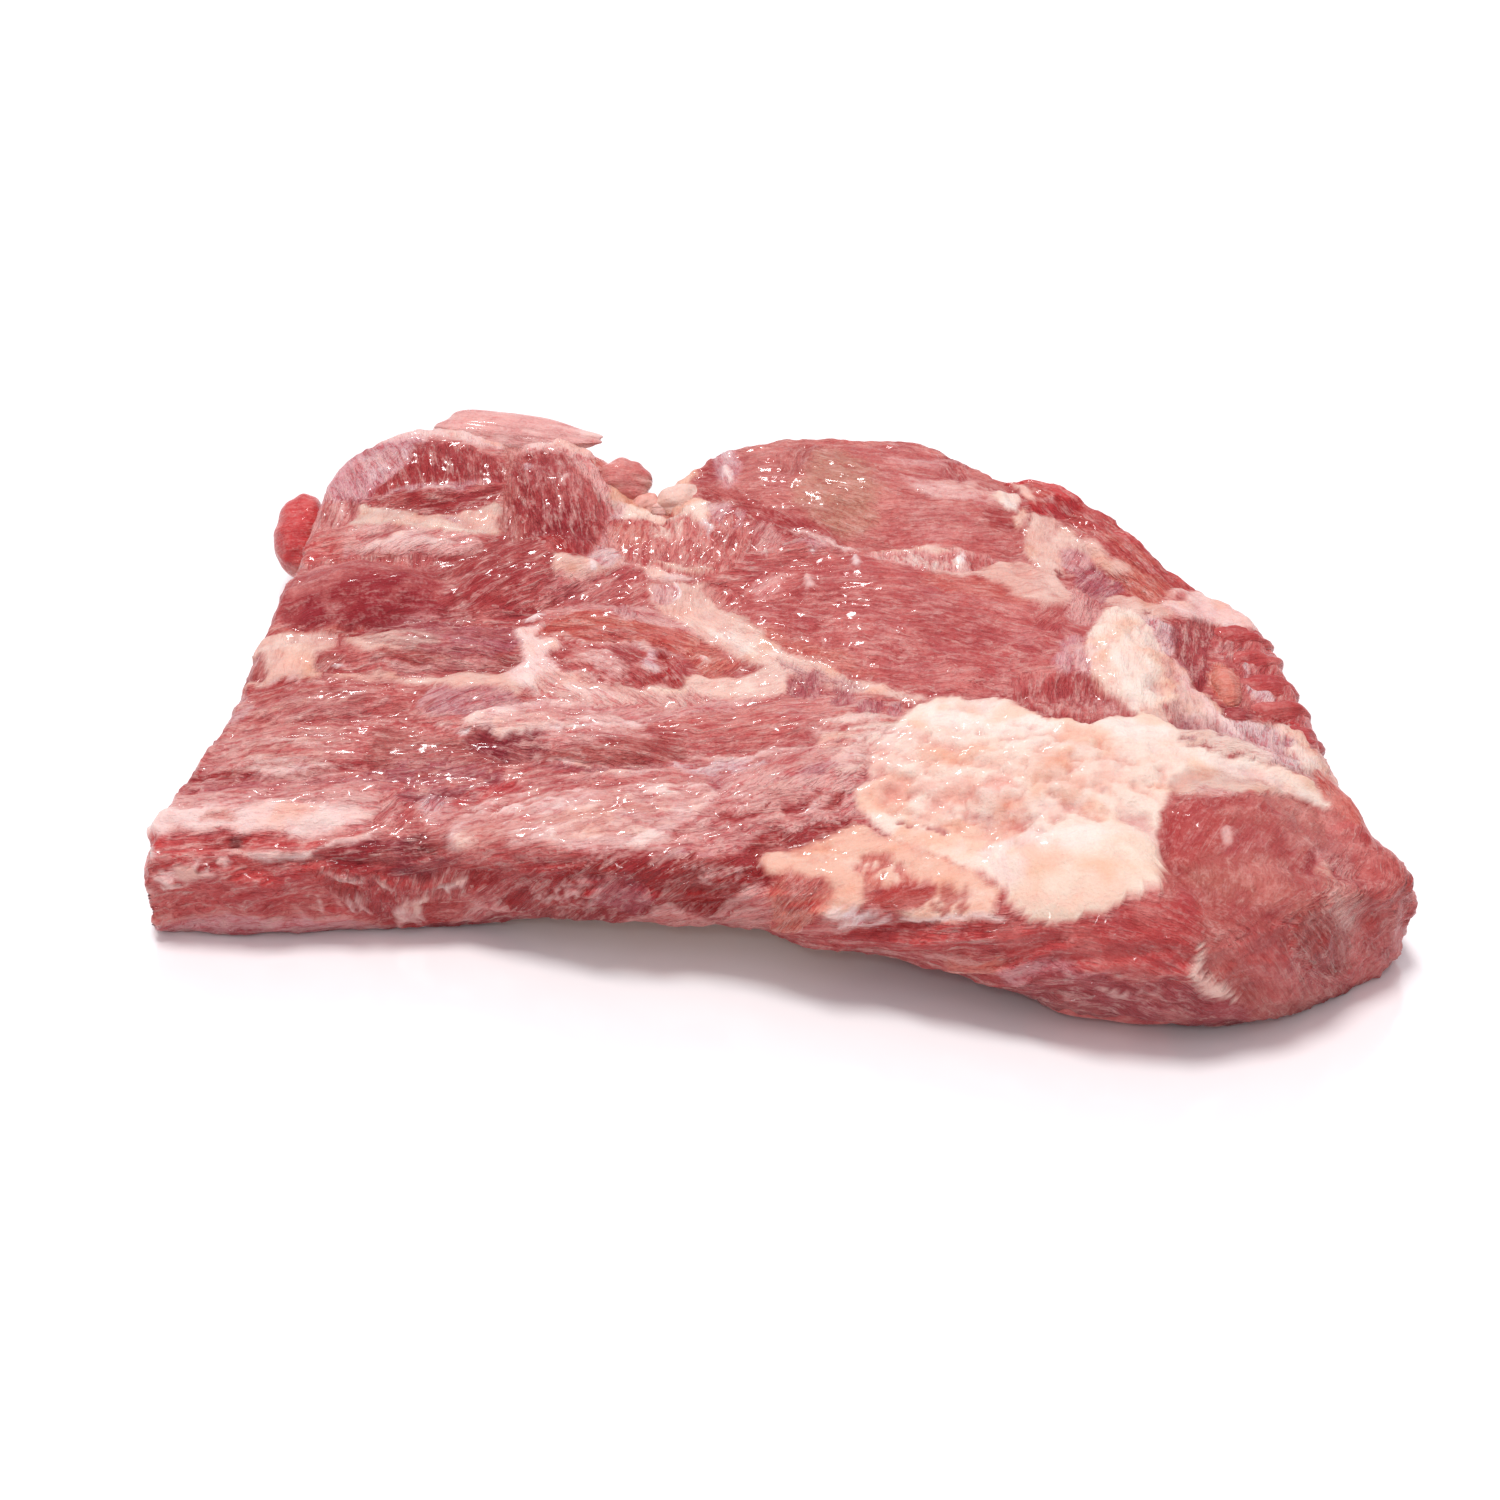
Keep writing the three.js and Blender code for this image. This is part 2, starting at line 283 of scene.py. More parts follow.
# ---------- Courses and the patch between them ----------
def course_through(points):
    """Catmull-Rom through the points, with the parameter even along its length in plan."""
    points = np.array(points, float)
    ends = (2 * points[0] - points[1], 2 * points[-1] - points[-2])
    padded = np.vstack([ends[0], points, ends[1]])
    share = np.linspace(0, len(points) - 1, LENGTH_SAMPLES + 1)
    start = np.minimum(share.astype(int), len(points) - 2)
    f = (share - start)[:, None]
    p, q, r, s = (padded[start + k] for k in range(4))
    slope = (r - p) / 2
    bend = p - 2.5 * q + 2 * r - s / 2
    twist = (s - p) / 2 + 1.5 * (q - r)
    samples = q + f * (slope + f * (bend + f * twist))
    steps = np.hypot(*np.diff(samples[:, :2], axis=0).T)
    lengths = np.concatenate([[0], np.cumsum(steps)])
    evenly = lengths / lengths[-1]
    return lambda u: [np.interp(u, evenly, samples[:, k]) for k in range(samples.shape[1])]


near = course_through(NEAR_EDGE)
far = course_through(FAR_EDGE)
left = course_through(LEFT_EDGE)
right = course_through(RIGHT_EDGE)


def patch_at(s, t):
    """Coons patch: near-far blend plus left-right blend less the corners' blend."""
    sides = near(s), far(s), left(t), right(t)
    corners = near(0), near(1), far(0), far(1)
    values = []
    for axis in range(3):
        front, back, start, end = (side[axis] for side in sides)
        near_start, near_end, far_start, far_end = (corner[axis] for corner in corners)
        between_corners = mix(mix(near_start, near_end, s), mix(far_start, far_end, s), t)
        values.append(mix(front, back, t) + mix(start, end, s) - between_corners)
    return values


def foot_at(s, t):
    """Lift of the underside: each edge's own lift, fading to nothing inside the slab."""
    def fade(share):
        return np.maximum(0, 1 - share / FOOT_FADE) ** 2

    along = near(s)[3] * fade(t) + far(s)[3] * fade(1 - t)
    ends = left(t)[3] * fade(s) + right(t)[3] * fade(1 - s)
    return np.maximum(0, along + ends)


def round_corners(s, t):
    """Draws the corners of the unit square in."""
    u, v = 2 * s - 1, 2 * t - 1
    return (1 + u * (1 - CORNER_PULL * v**8)) / 2, (1 + v * (1 - CORNER_PULL * u**8)) / 2


# ---------- Relief ----------
MOUND_WANDER = 3.0
MOUND_BLEND = 0.6
MOUND_SHARE = 0.95


def mounds_at(x, y):
    """Height of the muscles over (x, y): the highest paraboloid, blended where two meet.

    The blend is the logarithm of the sum of exp(height / MOUND_BLEND), times MOUND_BLEND.
    """
    wander_x = x + MOUND_WANDER * layered_noise(x, y, 24.0, seed=71, layers=3)
    wander_y = y + MOUND_WANDER * layered_noise(x, y, 24.0, seed=81, layers=3)
    total = np.ones_like(x)
    for at, half, turn, rise in MUSCLES.values():
        along, across = turned(wander_x, wander_y, at, turn)
        height = MOUND_SHARE * rise * (1 - (along / half[0]) ** 2 - (across / half[1]) ** 2)
        total += np.exp(np.maximum(height, -6) / MOUND_BLEND)
    return MOUND_BLEND * np.log(total)


def side_profile(angle):
    """Share outwards and share of height on the rounded side, for angles from 0 to pi."""
    cosine = np.cos(angle)
    outwards = np.abs(np.sin(angle)) ** SIDE_BULGE
    return outwards, (1 + np.sign(cosine) * np.abs(cosine) ** SIDE_SHOULDER) / 2


def even_angles(rings):
    """Angles down the side whose steps are even in length on a side of usual size."""
    usual_reach, usual_height = 9.0, 36.0
    fine = np.linspace(0, math.pi, 2000)
    outwards, level = side_profile(fine)
    steps = np.hypot(np.diff(outwards) * usual_reach, np.diff(level) * usual_height)
    lengths = np.concatenate([[0], np.cumsum(steps)])
    return np.interp(np.linspace(0, lengths[-1], rings + 1), lengths, fine)


def blanket(s, t, angle):
    """Points of the upper face and the side: plan place, height, and unrolled place.

    The unrolled place goes on outwards from the upper edge by the length of the side.
    """
    inner_s = mix(left(t)[4] / SPAN, 1 - right(t)[4] / SPAN, s)
    inner_t = mix(near(s)[4] / DEPTH, 1 - far(s)[4] / DEPTH, t)
    inner_x, inner_y, inner_top = patch_at(*round_corners(inner_s, inner_t))
    outwards, level = side_profile(angle)
    x, y, _ = patch_at(*round_corners(mix(inner_s, s, outwards), mix(inner_t, t, outwards)))
    top = inner_top + mounds_at(inner_x, inner_y)
    foot = foot_at(s, t)
    z = mix(foot, top, level)
    outer_x, outer_y, _ = patch_at(*round_corners(s, t))
    way_x, way_y = outer_x - inner_x, outer_y - inner_y
    reach = np.hypot(way_x, way_y) + 1e-9
    down = (1 - level) * (top - foot) + reach * np.where(angle < math.pi / 2, outwards, 2 - outwards)
    down = np.where(angle > 0, down, 0)
    return x, y, z, inner_x + way_x / reach * down, inner_y + way_y / reach * down


# ---------- Paint ----------
def area(tone, outline, edge=3.0, grain=None, strength=1.0, broken=0.0, wet=None, coarse=None):
    """A closed region of one tone; broken is the share of it that frays into flecks."""
    return {
        "tone": tone, "course": smooth_course(outline + outline[:1]), "width": None, "edge": edge,
        "grain": grain, "strength": strength, "broken": broken, "wet": wet, "coarse": coarse,
    }


def stroke(tone, course, width, edge=None, strength=0.9, grain=None, broken=0.0, wet=None, coarse=None):
    """A tapering line of one tone along a course."""
    return {
        "tone": tone, "course": smooth_course(course), "width": width, "edge": edge or 0.9 * width,
        "grain": grain, "strength": strength, "broken": broken, "wet": wet, "coarse": coarse,
    }


def hatch(tone, first, last, count, width, strength=0.8, seed=1, **more):
    """Strokes spread from the first course to the last, with uneven gaps and ends."""
    random = np.random.default_rng(seed)
    first, last = np.array(first, float), np.array(last, float)
    lines = []
    for i in range(count):
        share = (i + 0.5 + random.uniform(-0.4, 0.4)) / count
        course = mix(first, last, share)
        start, end = course[0], course[-1]
        course[0] = mix(start, course[1], random.uniform(0, 0.5))
        course[-1] = mix(end, course[-2], random.uniform(0, 0.5))
        broad = width * random.uniform(0.6, 1.3)
        lines.append(stroke(tone, course.tolist(), broad, strength=strength * random.uniform(0.6, 1), **more))
    return lines


def smooth_course(points, per_span=5):
    """Catmull-Rom through plan points; a course that ends where it starts is a ring."""
    points = np.array(points, float)
    if len(points) == 2:
        points = np.array([points[0], points.mean(axis=0), points[1]])
    ring = np.allclose(points[0], points[-1])
    before = points[-2] if ring else 2 * points[0] - points[1]
    after = points[1] if ring else 2 * points[-1] - points[-2]
    padded = np.vstack([before, points, after])
    f = np.arange(per_span)[:, None, None] / per_span
    p, q, r, s = (padded[k : len(points) - 1 + k] for k in range(4))
    bend = p - 2.5 * q + 2 * r - s / 2
    twist = (s - p) / 2 + 1.5 * (q - r)
    samples = q + f * ((r - p) / 2 + f * (bend + f * twist))
    return np.vstack([samples.transpose(1, 0, 2).reshape(-1, 2), points[-1:]])


def depth_inside(x, y, shape):
    """Millimetres inside a shape's edge, negative outside."""
    course, width = shape["course"], shape["width"]
    spans = len(course) - 1
    nearest = np.full(x.shape, 1e9)
    inside = np.zeros(x.shape, bool)
    for i in range(spans):
        (ax, ay), (bx, by) = course[i], course[i + 1]
        dx, dy = bx - ax, by - ay
        share = np.clip(((x - ax) * dx + (y - ay) * dy) / (dx * dx + dy * dy + 1e-12), 0, 1)
        gap = np.hypot(x - ax - share * dx, y - ay - share * dy)
        if width is None:
            nearest = np.minimum(nearest, gap)
            inside ^= ((ay > y) != (by > y)) & (x < ax + (y - ay) * dx / (dy + 1e-12))
        else:
            along = 2 * (i + share) / spans - 1
            nearest = np.minimum(nearest, gap - width / 2 * (1 - np.abs(along) ** 3))
    return -nearest if width is not None else np.where(inside, nearest, -nearest)


# Millimetres by which an edge frays along the fibres, and by which it wavers.
FRAY = 0.5
SHIVER = 1.7
# Soft edges are this share of their named width, but no narrower than the least one.
EDGE_SHARE = 0.65
LEAST_EDGE = 1.2
USUAL_WET = 0.5


def weight_of(x, y, shape):
    """How much of a shape's tone each place takes; grain frays its edge along the fibres."""
    weight = np.zeros(x.shape)
    margin = shape["edge"] / 2 + (shape["width"] or 0) / 2 + FRAY + 2 * SHIVER
    low, high = shape["course"].min(axis=0) - margin, shape["course"].max(axis=0) + margin
    close = (x > low[0]) & (x < high[0]) & (y > low[1]) & (y < high[1])
    if not close.any():
        return weight
    px, py = x[close], y[close]
    qx = px + SHIVER * layered_noise(px, py, 9.0, seed=21, layers=4)
    qy = py + SHIVER * layered_noise(px, py, 9.0, seed=31, layers=4)
    grain = shape["grain"]
    along, across = turned(px, py, (0, 0), grain or 0)
    if grain is not None and shape["width"] is None:
        fray = FRAY * layered_noise(along * 0.2, across, 3.6, seed=41, layers=3)
        qx += fray * math.cos(math.radians(grain))
        qy += fray * math.sin(math.radians(grain))
    edge = max(EDGE_SHARE * shape["edge"], LEAST_EDGE) / 2
    inside = smooth_step(-edge, edge, depth_inside(qx, qy, shape))
    if shape["broken"]:
        length = 1.0 if grain is None else 0.4
        flecks = layered_noise(along * length, across, 3.4, seed=51, layers=3) + 0.5
        inside *= smooth_step(shape["broken"] - 0.2, shape["broken"] + 0.2, flecks)
    weight[close] = inside * shape["strength"]
    return weight


# The tones in the order in which they are laid, read from the photograph. Their outlines are
# plan millimetres, with the sides unrolled outwards. The underside lies UNDERSIDE_OFFSET to the right.
PAINT = [
    # ---- Ground tones ----
    area("muscle", [(-260, -220), (260, -220), (260, 240), (-260, 240)], grain=0),
    area("muscle_red", [(440, -220), (980, -220), (980, 240), (440, 240)], grain=12),
    area("muscle_pale",
        [(-158, 4), (-40, 8), (36, 4), (40, -60), (-20, -66), (-100, -60), (-180, -60), (-176, -30)], 12, 2),
    # ---- Sides that the photograph hides ----
    area("muscle", [(182, -110), (172, -30), (164, 20), (152, 58), (200, 90), (290, 60), (290, -130)],
        4, 82, coarse=0.6),
    area("muscle_red", [(150, 50), (124, 84), (92, 118), (120, 170), (200, 150), (240, 80)],
        4, 127, coarse=0.6),
    area("muscle", [(96, 118), (56, 140), (0, 142), (-30, 120), (-60, 146), (-140, 142), (-150, 220),
        (120, 220)], 4, 2, coarse=0.6),
    area("muscle_red",
        [(-132, 146), (-146, 100), (-156, 40), (-166, -10), (-182, -56), (-270, -60), (-260, 180)],
        4, 82, coarse=0.6),
    *hatch("cream_pink", [(188, -60), (180, -10), (172, 36), (150, 74)],
        [(206, -60), (196, -6), (190, 44), (170, 86)], 4, 2.4, 0.8, seed=111, broken=0.2),
    *hatch("muscle_dark", [(186, -60), (178, -10), (170, 36), (140, 84)],
        [(210, -60), (202, -6), (194, 44), (168, 100)], 6, 2.0, 0.5, seed=112),
    *hatch("cream_pink", [(130, 92), (100, 126), (60, 152), (0, 158)],
        [(150, 108), (116, 142), (64, 174), (0, 178)], 4, 2.6, 0.8, seed=113, broken=0.2),
    *hatch("muscle_dark", [(120, 100), (96, 128), (56, 150), (-10, 156)],
        [(146, 118), (118, 150), (60, 184), (-10, 186)], 6, 2.2, 0.5, seed=114),
    *hatch("pink_white", [(-46, 156), (-80, 160), (-130, 154)], [(-46, 180), (-80, 184), (-140, 176)],
        5, 2.4, 0.7, seed=115, broken=0.2),
    *hatch("muscle_dark", [(-40, 152), (-80, 157), (-130, 151)], [(-44, 184), (-80, 190), (-140, 182)],
        6, 2.2, 0.5, seed=116),
    *hatch("pink_white", [(-152, 130), (-160, 70), (-170, 10), (-190, -50)],
        [(-176, 134), (-182, 70), (-194, 6), (-212, -52)], 5, 2.4, 0.7, seed=117, broken=0.2),
    *hatch("muscle_dark", [(-150, 130), (-158, 70), (-168, 10), (-188, -50)],
        [(-180, 134), (-186, 70), (-198, 6), (-216, -52)], 6, 2.2, 0.5, seed=118),
    # ---- Far-left block ----
    # Painted reflection: a pale violet sheen with white streaks on the block's far slope.
    area("violet_pink", [(-140, 160), (-128, 142), (-110, 146), (-106, 136), (-107, 127), (-110, 119),
        (-118, 116), (-124, 110), (-134, 112), (-146, 120)], 4, 108),
    *hatch("violet_white", [(-130, 140), (-126, 128), (-124, 113)], [(-110, 140), (-108, 128), (-110, 119)],
        9, 2.0, seed=2),
    *hatch("muscle", [(-128, 140), (-122, 130), (-117, 120)], [(-108, 136), (-108, 128), (-108, 120)],
        6, 1.6, 0.7, seed=3),
    area("muscle_deep", [(-109, 137), (-98, 135), (-88, 132), (-81, 127), (-79, 119), (-83, 115), (-94, 114),
        (-105, 111), (-117, 110), (-122, 114), (-114, 119), (-109, 128)], 4, 98),
    area("muscle_dark", [(-101, 124), (-90, 125), (-83, 121), (-86, 117), (-98, 117), (-105, 119)],
        6, 98, 0.4),
    area("pink_white",
        [(-130, 150), (-108, 150), (-78, 152), (-76, 137), (-86, 135), (-98, 138), (-108, 140), (-122, 142)],
        7, 95, 0.85),
    stroke("violet_pink", [(-122, 110), (-110, 111.5), (-100, 112), (-92, 114.5), (-81, 117)], 2.6),
    stroke("pink_white", [(-110, 111.2), (-100, 112), (-92, 114.7)], 1.1, strength=0.7, broken=0.4),
    area("muscle_deep", [(-121, 109.5), (-108, 110.5), (-96, 110.5), (-80, 114), (-83, 108), (-91, 104.5),
        (-101, 103), (-112, 104.5)], 2, 12),
    area("grey_cream", [(-126, 108), (-114, 104), (-101, 102.3), (-90, 103.5), (-83, 107), (-79, 104),
        (-79, 94), (-84, 90), (-95, 89.5), (-110, 92), (-124, 93), (-131, 97), (-130, 103)], 2.5, 85),
    area("membrane", [(-106, 101), (-90, 103), (-82, 103), (-80, 95), (-88, 92), (-104, 94)], 5, 80, 0.8),
    stroke("violet_white", [(-99, 101), (-93, 98)], 2.5, strength=0.6),
    area("muscle_pale", [(-160, 118), (-132, 112), (-126, 107), (-128, 99), (-132, 95), (-160, 97)], 4, 80),
    stroke("muscle_deep", [(-136, 109), (-134, 99)], 2.2, strength=0.7),
    stroke("muscle_deep", [(-129, 111), (-127, 105)], 2.4, strength=0.8),
    stroke("pink_white", [(-132.5, 110), (-131, 102)], 1.8, strength=0.6),
    area("pale_pink", [(-131, 92), (-118, 92), (-105, 91.5), (-95, 90), (-85, 87), (-84, 83.5), (-92, 80.5),
        (-104, 80), (-118, 80.5), (-131, 81)], 2.5, 22),
    *hatch("muscle_deep", [(-129, 86), (-120, 90), (-112, 92)], [(-106, 82), (-96, 85), (-87, 87)],
        9, 1.8, 0.7, seed=4),
    *hatch("pink_white", [(-129, 83), (-118, 87), (-108, 91)], [(-110, 81), (-98, 84), (-88, 86)],
        9, 1.2, 0.9, seed=5),
    area("vivid", [(-143, 92), (-134, 91), (-130.5, 87), (-131, 81), (-135, 79), (-143, 80)], 2.5, 20),
    # Painted highlight: a white-violet sheen on the knob.
    stroke("violet_white", [(-129.8, 88), (-129, 81)], 2.0),
    stroke("salmon", [(-144, 76), (-131, 79), (-118, 80), (-106, 78.5)], 3.0, strength=0.7),
    area("muscle_deep",
        [(-108, 79), (-95, 80), (-86, 84), (-79, 92), (-72, 84), (-84, 75), (-95, 70), (-104, 74)],
        5, 30, 0.6),
    area("tan_pink", [(-81, 142), (-74, 142), (-74, 118), (-73, 104), (-70, 92), (-75, 86), (-81, 98),
        (-79, 118)], 4, 92, 0.8),
    stroke("pale_pink", [(-78, 140), (-76, 128), (-77, 116)], 2.0, strength=0.7, broken=0.3),
    # ---- Lobe beside the notch ----
    area("pale_pink", [(-74, 152), (-58, 150), (-46, 142), (-41, 130), (-44, 118), (-41, 104), (-43, 90),
        (-45, 79), (-53, 80), (-56, 120), (-70, 130), (-76, 138)], 4, 94),
    area("muscle_deep", [(-76, 134), (-68, 134), (-60, 131), (-55, 122), (-50, 113), (-46, 104), (-45, 94),
        (-47, 85), (-51, 78), (-56, 75), (-62, 77), (-69, 86), (-74, 96), (-76, 112)], 4, 99),
    area("muscle_dark", [(-68, 104), (-58, 104), (-52, 98), (-50, 88), (-55, 82), (-63, 85), (-70, 93)],
        7, 99, 0.6),
    area("muscle", [(-62, 126), (-56, 122), (-50, 110), (-46, 100), (-50, 96), (-58, 112)], 5, 99, 0.6),
    area("blood", [(-69, 88), (-62, 86), (-57, 79), (-57, 75), (-62, 75), (-66, 81)], 2.5, 110),
    # Painted highlight: a small white sheen spot.
    stroke("violet_white", [(-72.8, 127), (-71.2, 121)], 1.7),
    stroke("pink_white", [(-60, 109), (-58.5, 118)], 1.8, strength=0.7),
    *hatch("pale_pink", [(-74, 130), (-72, 116), (-70, 104)], [(-56, 126), (-54, 112), (-52, 100)],
        8, 0.9, 0.45, seed=6),
    area("pink_white", [(-74, 148), (-60, 147), (-52, 140), (-54, 134), (-64, 136), (-74, 138)], 6, 95, 0.8),
    area("orange_red", [(-51, 136), (-45, 130), (-41, 124), (-37, 117), (-42, 119), (-47, 121), (-51, 128)],
        3, 120),
    area("peach", [(-44, 122), (-38, 116), (-32, 109), (-36, 105), (-42, 107), (-45, 115)], 3, 110),
    area("cream", [(-44, 109), (-33, 109), (-20, 107), (-13, 111), (-7, 108), (-9, 103), (-14, 100),
        (-22, 101), (-32, 102), (-41, 102)], 4, 90, 0.9),
    stroke("violet_white", [(-41, 112), (-44, 96), (-47, 84)], 4.0, strength=0.6),
    # ---- Notch and the webbed meat behind the middle ----
    area("peach", [(-29, 118), (-24, 129), (-18, 133), (-14, 120), (-14, 110), (-20, 107), (-27, 108)],
        3, 70),
    stroke("salmon", [(-28, 114), (-25, 104)], 2.6, strength=0.8),
    area("salmon_pink", [(-45, 100), (-30, 103), (-14, 100), (-3, 98), (0, 88), (-2, 76), (-12, 69),
        (-30, 71), (-44, 76), (-46, 88)], 5, 84),
    area("salmon", [(-43, 99), (-34, 98), (-34, 88), (-42, 85)], 5, 80, 0.5),
    *hatch("cream", [(-33, 101), (-32, 94), (-31, 86)], [(-20, 101), (-21, 95), (-23, 88)],
        7, 1.3, 0.8, seed=7),
    stroke("white", [(-16, 104), (-15.5, 98), (-13.5, 92), (-12, 88)], 2.0),
    area("cream", [(-20, 108), (-10, 109), (-7, 106), (-12, 99), (-17, 97), (-20, 101)], 4, 80, 0.7),
    area("violet_pink", [(-13, 108), (-7, 107), (-2, 101), (-1, 94), (-7, 92), (-12, 98)],
        3, 60, 0.8, broken=0.2),
    area("muscle", [(-38, 86), (-20, 88), (-8, 92), (0, 84), (-4, 73), (-16, 71), (-32, 77)],
        5, 75, 0.7, broken=0.5),
    area("muscle_deep", [(-8, 92), (0, 88), (2, 78), (-8, 76), (-20, 80)], 5, 75, 0.5, broken=0.55),
    stroke("pink_white", [(-42, 77), (-34, 73), (-26, 70), (-16, 68.5)], 3.4),
    stroke("cream", [(-32, 76), (-20, 72.5), (-10, 72)], 1.4, strength=0.7),
    area("membrane", [(-65, 75), (-58, 74), (-50, 76), (-44, 83), (-40, 79), (-42, 73), (-50, 67), (-61, 66)],
        4, 30),
    area("violet_white", [(-51, 76), (-45, 83), (-40, 80), (-45, 73)], 4, 50, 0.8),
    # Painted highlights: two white glints on the milky membrane.
    stroke("white", [(-64, 74), (-62, 69)], 1.8),
    stroke("white", [(-51, 74), (-49, 70.5)], 2.2),
    # ---- Red lobe running into the middle ----
    area("muscle_deep", [(-97, 70), (-88, 76), (-78, 83), (-68, 85), (-63, 76), (-61, 68), (-63, 58),
        (-70, 51), (-80, 50), (-90, 52), (-95, 58)], 3, 35),
    area("muscle", [(-67, 72), (-60, 65), (-50, 68), (-40, 75), (-33, 73), (-30, 64), (-31, 56), (-42, 54),
        (-56, 53), (-66, 52), (-72, 52)], 4, 40),
    *hatch("pale_pink", [(-70, 60), (-60, 66), (-48, 72)], [(-60, 53), (-46, 58), (-33, 64)],
        9, 1.3, 0.8, seed=8),
    *hatch("muscle_dark", [(-68, 58), (-56, 65), (-44, 72)], [(-58, 54), (-46, 57), (-34, 62)],
        6, 1.3, 0.5, seed=9),
    stroke("blood", [(-82, 47), (-73, 49.5), (-64, 52.5), (-59, 57)], 2.6),
    stroke("pale_pink", [(-99, 77), (-95, 68), (-93, 58), (-87, 50)], 4.0, strength=0.8, broken=0.35),
    # ---- Oval tongue ----
    area("muscle_dark", [(-160, 64), (-146, 64), (-138, 73), (-125, 74), (-110, 74), (-100, 73), (-96, 66),
        (-95, 58), (-97, 50), (-106, 45), (-120, 43), (-132, 44), (-142, 48), (-160, 52)],
        2.5, 6, wet=0.8, coarse=0.4),
    area("muscle_pale", [(-148, 78), (-120, 80), (-99, 78), (-98, 70), (-110, 67), (-128, 67.5), (-142, 68)],
        4, 88, 0.7),
    area("muscle_deep", [(-145, 68), (-128, 69), (-108, 68), (-116, 60), (-138, 58)], 7, 6, 0.8),
    area("muscle", [(-160, 64), (-141, 60), (-139, 51), (-144, 44), (-160, 46)], 5, 20, 0.7),
    area("blood_dark", [(-132, 56), (-115, 58), (-101, 57), (-97, 52), (-105, 47), (-122, 46)], 8, 6, 0.35),
    *hatch("muscle_red", [(-148, 66), (-128, 70), (-106, 70)], [(-142, 58), (-124, 63), (-104, 64)],
        4, 2.0, 0.5, seed=90),
    stroke("salmon", [(-150, 47), (-138, 42.5), (-128, 42), (-118, 43)], 3.0, strength=0.7),
    stroke("pale_pink", [(-110, 45), (-98, 48), (-88, 47), (-80, 49)], 1.6, strength=0.8),
    # Painted shadow: the dark red in the crease at the tongue's right end.
    area("muscle_dark", [(-98, 60), (-93, 54), (-85, 52), (-76, 51), (-80, 47.5), (-96, 48.5)], 3, 4, 0.8),
    area("muscle", [(-84, 52), (-74, 50), (-68, 52), (-66, 47), (-74, 42), (-84, 45)], 4, 10, 0.7),
    # ---- Left middle ----
    area("purple", [(-112, 45), (-98, 46), (-84, 43), (-74, 41), (-70, 36), (-74, 31), (-86, 30), (-98, 34),
        (-108, 39)], 3, -6),
    area("muscle_dark", [(-108, 44), (-96, 43), (-84, 41), (-80, 36), (-92, 36), (-104, 40)],
        5, -6, 0.45, broken=0.2),
    area("silver", [(-123, 38), (-113, 41), (-102, 38), (-95, 34), (-99, 29), (-112, 30), (-121, 33)], 5, -8),
    stroke("membrane", [(-126, 42), (-121, 34), (-112, 30), (-101, 28.5)], 3.6),
    area("membrane", [(-165, 40), (-134, 43), (-127, 38), (-130, 32), (-132, 26), (-131, 20), (-140, 18),
        (-165, 20)], 3, 84),
    area("peach", [(-140, 34), (-134, 34), (-132, 24), (-136, 20), (-142, 24)], 5, 84, 0.6),
    area("brown_red", [(-131, 32), (-126, 30), (-124, 25), (-126, 21), (-132, 22), (-134, 27)], 2, 60),
    # Painted highlight: a white glint.
    stroke("white", [(-126.5, 23), (-123.5, 24.5)], 1.4),
    area("brown_red", [(-118, 27), (-100, 31), (-88, 31), (-76, 31), (-69, 28), (-71, 23), (-84, 20.5),
        (-100, 21), (-112, 23)], 3, -3),
    area("purple", [(-100, 31), (-88, 31), (-78, 30), (-82, 27), (-96, 27)], 3, -3, 0.6),
    *hatch("pale_pink", [(-120, 28), (-104, 24.5), (-84, 27), (-72, 29)],
        [(-118, 24), (-104, 21), (-84, 22), (-72, 24)], 4, 1.1, 0.8, seed=10),
    area("membrane", [(-128, 20), (-112, 21), (-96, 20), (-84, 21), (-74, 19), (-70, 12), (-73, 6), (-84, 9),
        (-96, 13), (-106, 18), (-118, 18)], 3, 8),
    area("pink_white", [(-73, 40), (-65, 44), (-60, 38), (-58, 28), (-52, 20), (-42, 12), (-46, 5), (-62, 8),
        (-72, 14), (-74, 22), (-69, 27), (-70, 33)], 4, -52),
    area("muscle", [(-150, 16), (-138, 18), (-126, 17), (-112, 16), (-104, 9), (-106, 2), (-118, 0.5),
        (-132, 0), (-152, 0.5), (-158, 6)], 3, 13),
    *hatch("pink_white", [(-154, 6), (-134, 12), (-112, 15)], [(-146, -1), (-124, 2), (-106, 8)],
        8, 1.2, 0.5, seed=11),
    *hatch("muscle_deep", [(-144, 14), (-132, 13), (-120, 10)], [(-136, 2), (-120, 5), (-106, 11)],
        5, 2.2, 0.7, seed=12),
    area("violet_white", [(-170, 16), (-156, 14), (-150, 8), (-152, 2), (-170, 0)], 4, 20, 0.6, broken=0.2),
    area("purple_pale", [(-99, 11), (-84, 11), (-70, 8), (-65, 2), (-78, -1), (-90, 0), (-99, 3)], 3, 26),
    *hatch("muscle", [(-96, 9), (-86, 12), (-76, 12)], [(-88, -1), (-78, 3), (-68, 6)], 6, 1.1, 0.5, seed=13),
    stroke("muscle_deep", [(-109, 9), (-105, 3), (-98, -2)], 3.0, strength=0.8),
    stroke("muscle_deep", [(-100, 4), (-94, 6.5)], 2.2, strength=0.7),
    area("muscle_deep", [(-175, 34), (-157, 33), (-150, 31), (-148, 23), (-152, 20), (-175, 21)], 3, 70, 0.9),
    stroke("pink_white", [(-152, 19), (-136, 17.5), (-122, 19)], 1.5, strength=0.6, broken=0.3),
    # ---- Streaked left ----
    area("muscle_pale", [(-180, -8), (-150, -3), (-128, -1.5), (-112, -2), (-107, -8), (-110, -16),
        (-118, -20), (-135, -20), (-185, -20)], 3, 3),
